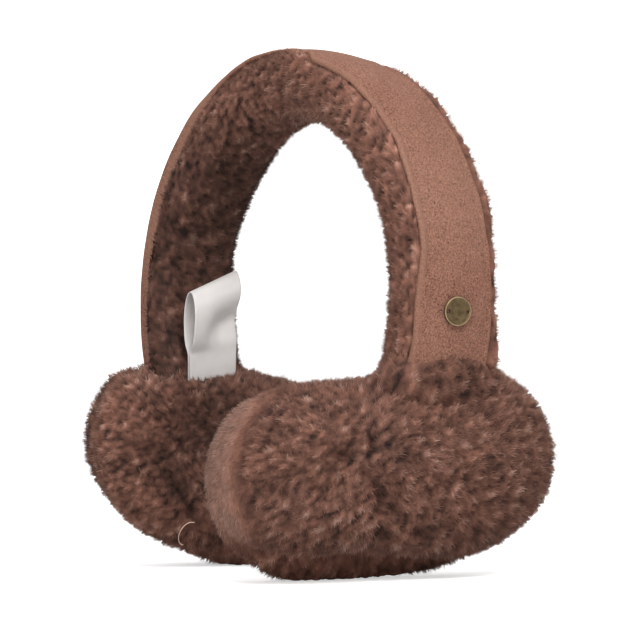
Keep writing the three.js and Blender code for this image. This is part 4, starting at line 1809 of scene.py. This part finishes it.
@dataclass(frozen=True)
class SuedeFinish:
    """Brushed rose-brown suede: sandy grain, lighter mid-leg, a painted highlight on the front edge."""

    name: str
    base: int = 0x563227
    patch: int = 0x4C2418
    worn: int = 0x7A594B
    pit: int = 0x2E1911
    fleck: int = 0x986F5E
    # The colour of the painted highlight along the front edge
    edge: int = 0x805F50

    def make(self, patches: bpy.types.NodeTree) -> bpy.types.Material:
        """Makes the material."""
        shader = Shader(self.name)
        place = shader.add("ShaderNodeTexCoord")
        height = shader.add("ShaderNodeSeparateXYZ", {0: place.outputs["Object"]})
        colour: object = tone(self.base)
        for hue, size, amount in ((self.patch, 38.0, 0.8), (self.worn, 75.0, 0.65)):
            colour = shader.patchy(patches, colour, hue, size, amount).outputs["Color"]
        # Lighter in a band from about 0.11 to 0.17 m up each leg
        low = self.rise(shader, height.outputs["Z"], 0.108, 0.134)
        high = self.rise(shader, height.outputs["Z"], 0.172, 0.145)
        brightening = shader.add("ShaderNodeMath", {0: low, 1: high}, operation="MULTIPLY")
        colour = self.lighten(shader, colour, brightening.outputs[0], self.worn, 0.85)
        for hue, size, amount in ((self.pit, 1150.0, 0.85), (self.fleck, 1600.0, 0.75)):
            colour = shader.patchy(patches, colour, hue, size, amount).outputs["Color"]
        # Painted highlight: the outer face is lightened along its front edge, where the suede wraps
        # round
        surface = shader.add("ShaderNodeUVMap", uv_map=SURFACE_MAP)
        across = shader.add("ShaderNodeSeparateXYZ", {0: surface.outputs["UV"]})
        rim = self.rise(shader, across.outputs["Y"], 0.052, 0.03)
        colour = self.lighten(shader, colour, rim, self.edge, 0.45)
        grain = shader.add(
            "ShaderNodeTexNoise",
            {"Vector": place.outputs["Object"], "Scale": 1300.0, "Detail": 5.0, "Roughness": 0.7},
        )
        shader.feed(Base_Color=colour, Normal=shader.bump(grain.outputs["Fac"], 1.0, 0.0006))
        shader.feed(Roughness=0.9, Specular_IOR_Level=0.12)
        shader.feed(Sheen_Weight=0.12, Sheen_Roughness=0.5, Sheen_Tint=tone(0xB88370))
        return shader.material

    def rise(
        self, shader: Shader, value: bpy.types.NodeSocket, start: float, end: float
    ) -> bpy.types.NodeSocket:
        """A mask that goes smoothly from 0 at start to 1 at end."""
        spread = shader.add(
            "ShaderNodeMapRange", {"Value": value, "From Min": start, "From Max": end},
            interpolation_type="SMOOTHSTEP",
        )
        return spread.outputs["Result"]

    def lighten(
        self, shader: Shader, colour: object, mask: bpy.types.NodeSocket, hue: int, amount: float
    ) -> bpy.types.NodeSocket:
        """Blends a hue into a colour where a mask is."""
        share = shader.add("ShaderNodeMath", {0: mask, 1: amount}, operation="MULTIPLY")
        inputs = {0: share.outputs[0], 6: colour, 7: tone(hue)}
        return shader.add("ShaderNodeMix", inputs, data_type="RGBA").outputs[2]


@dataclass(frozen=True)
class BrassFinish:
    """Antiqued brass, darker in its field and worn bright on its rim."""

    name: str
    base: int = 0x6F5F46
    dark: int = 0x403527
    bright: int = 0x9A8767

    def make(self, patches: bpy.types.NodeTree) -> bpy.types.Material:
        """Makes the material."""
        shader = Shader(self.name)
        worn = shader.patchy(patches, tone(self.base), self.dark, 420.0, 0.8)
        wear = shader.add("ShaderNodeAttribute", attribute_name="wear")
        brightening = shader.add(
            "ShaderNodeMix",
            {0: wear.outputs["Fac"], 6: worn.outputs["Color"], 7: tone(self.bright)}, data_type="RGBA",
        )
        rough = shader.add(
            "ShaderNodeMapRange", {"Value": worn.outputs["Mask"], "To Min": 0.42, "To Max": 0.6}
        )
        place = shader.add("ShaderNodeTexCoord")
        cast = shader.add(
            "ShaderNodeTexNoise", {"Vector": place.outputs["Object"], "Scale": 900.0, "Detail": 3.0}
        )
        shader.feed(Base_Color=brightening.outputs[2], Roughness=rough.outputs["Result"], Metallic=1.0)
        shader.feed(Normal=shader.bump(cast.outputs["Fac"], 0.35, 0.0002))
        return shader.material


@dataclass(frozen=True)
class SatinFinish:
    """White woven satin ribbon."""

    name: str
    base: int = 0xB4B0AE
    patch: int = 0xA6A19F

    def make(self, patches: bpy.types.NodeTree) -> bpy.types.Material:
        """Makes the material."""
        shader = Shader(self.name)
        soft = shader.patchy(patches, tone(self.base), self.patch, 90.0, 0.5)
        place = shader.add("ShaderNodeUVMap", uv_map=SURFACE_MAP)
        stretch = shader.add(
            "ShaderNodeVectorMath",
            {0: place.outputs["UV"], 1: (260.0, 60.0, 1.0)}, operation="MULTIPLY",
        )
        weave = shader.add(
            "ShaderNodeTexWave", {"Vector": stretch.outputs[0], "Scale": 1.0, "Distortion": 0.4}
        )
        raised = shader.bump(weave.outputs["Fac"], 0.25, 0.0001)
        shader.feed(Base_Color=soft.outputs["Color"], Normal=raised)
        shader.feed(Roughness=0.42, Specular_IOR_Level=0.5, Sheen_Weight=0.15)
        return shader.material


@dataclass(frozen=True)
class Studio:
    """A pale seamless sweep, soft lights and the camera."""

    azimuth: float = math.radians(47.8)
    elevation: float = math.radians(-2.5)
    roll: float = math.radians(0.5)
    distance: float = 0.877
    shift: tuple[float, float] = (0.022, -0.0156)
    target: tuple[float, float, float] = (0.0, 0.0, 0.1)
    sensor: float = 36.0
    lens: float = 128.26

    def axes(self) -> tuple[Vector, Vector, Vector]:
        """The camera's right, up and backward directions."""
        a, e = self.azimuth, self.elevation
        right = Vector((math.cos(a), math.sin(a), 0.0))
        up = Vector((-math.sin(a) * math.sin(e), math.cos(a) * math.sin(e), math.cos(e)))
        back = Vector((math.sin(a) * math.cos(e), -math.cos(a) * math.cos(e), math.sin(e)))
        turned = right * math.cos(self.roll) - up * math.sin(self.roll)
        raised = right * math.sin(self.roll) + up * math.cos(self.roll)
        return turned, raised, back

    def camera(self) -> None:
        """Adds the camera."""
        right, up, back = self.axes()
        data = bpy.data.cameras.new("camera")
        data.sensor_width, data.lens = self.sensor, self.lens
        data.shift_x, data.shift_y = self.shift
        data.clip_end = 50.0
        camera = link("camera", data)
        place = Matrix((right, up, back)).transposed().to_4x4()
        place.translation = Vector(self.target) + back * self.distance
        camera.matrix_world = place
        bpy.context.scene.camera = camera

    def sweep(self) -> None:
        """Adds the floor and backdrop as one curved sheet that goes round the object and glows."""
        profile = [(0.0, 0.0), (1.6, 0.0), (2.4, 0.12), (3.0, 0.55), (3.3, 1.3), (3.4, 3.5)]
        bm = spun(profile, 64, 1e-5)
        for face in bm.faces:
            face.smooth = True
        sweep = link("studio_sweep", freed("studio_sweep", bm))
        shader = Shader("studio paper")
        place = shader.add("ShaderNodeTexCoord")
        away = shader.add("ShaderNodeVectorMath", {0: place.outputs["Object"]}, operation="LENGTH")
        # Painted light: the sweep glows for camera rays only, less near the object than far away, so it
        # looks white and the object's shadow on it is faint
        glow = shader.add(
            "ShaderNodeMapRange",
            {"Value": away.outputs["Value"], "From Min": 0.12, "From Max": 0.5, "To Min": 0.6},
        )
        path = shader.add("ShaderNodeLightPath")
        seen = shader.add(
            "ShaderNodeMath",
            {0: path.outputs["Is Camera Ray"], 1: glow.outputs["Result"]}, operation="MULTIPLY",
        )
        shader.feed(Base_Color=tone(0xF2F1F0), Roughness=0.9, Specular_IOR_Level=0.1)
        shader.feed(Emission_Color=seen.outputs[0], Emission_Strength=0.9)
        sweep.data.materials.append(shader.material)

    def lights(self) -> None:
        """Adds the world and the soft boxes."""
        world = bpy.data.worlds.new("studio")
        world.use_nodes = True
        glow = world.node_tree.nodes["Background"]
        glow.inputs["Color"].default_value = (1.0, 1.0, 1.0, 1.0)
        glow.inputs["Strength"].default_value = 0.45
        bpy.context.scene.world = world
        right, _, back = self.axes()
        boxes = {
            "key": (back * 0.75 + right * 0.15 + Vector((0, 0, 0.75)), 0.5, 11.5),
            "fill": (back * 0.9 - right * 0.7 + Vector((0, 0, 0.08)), 0.8, 7.0),
            "top": (Vector((0, 0, 1.1)), 0.7, 6.0),
            "back": (-back * 0.9 + right * 0.3 + Vector((0, 0, 0.6)), 0.8, 5.0),
        }
        for name, (spot, size, power) in boxes.items():
            data = bpy.data.lights.new(name, "AREA")
            data.size = size
            data.energy = power
            lamp = link(name, data)
            lamp.location = spot
            ahead = Vector((0, 0, 0.09)) - Vector(spot)
            lamp.rotation_euler = ahead.to_track_quat("-Z", "Y").to_euler()

    def build(self) -> None:
        """Sets up the whole studio."""
        self.camera()
        self.sweep()
        self.lights()
        bpy.context.scene.view_settings.view_transform = "Standard"


def dress(pieces: Sequence[bpy.types.Object], material: bpy.types.Material) -> None:
    """Gives pieces a material and logs them."""
    for piece in pieces:
        piece.data.materials.clear()
        piece.data.materials.append(material)
        log.info("%s: %d faces", piece.name, len(piece.data.polygons))


def main() -> None:
    """Builds the earmuffs and the studio."""
    logging.basicConfig(level=logging.INFO, format="%(message)s")
    Studio().build()
    patches = mottle_group()
    fleece = FleeceFinish("dyed sheepskin").make(patches)
    suede = SuedeFinish("rose brown suede").make(patches)
    brass = BrassFinish("antiqued brass").make(patches)
    satin = SatinFinish("white satin").make(patches)
    cover = SuedeCover(BAND)
    dress([Lining(BAND, cover).build()], fleece)
    for place in (RIGHT_PAD, LEFT_PAD):
        dress(EarPad(PAD, place, BAND).build(), fleece)
    dress([cover.build()], suede)
    plate, thread = Badge(BAND).build()
    dress([plate], brass)
    dress([thread], suede)
    dress([StrayFibre().build()], fleece)
    dress([CareLabel(BAND).build()], satin)


if __name__ == "__main__":
    main()
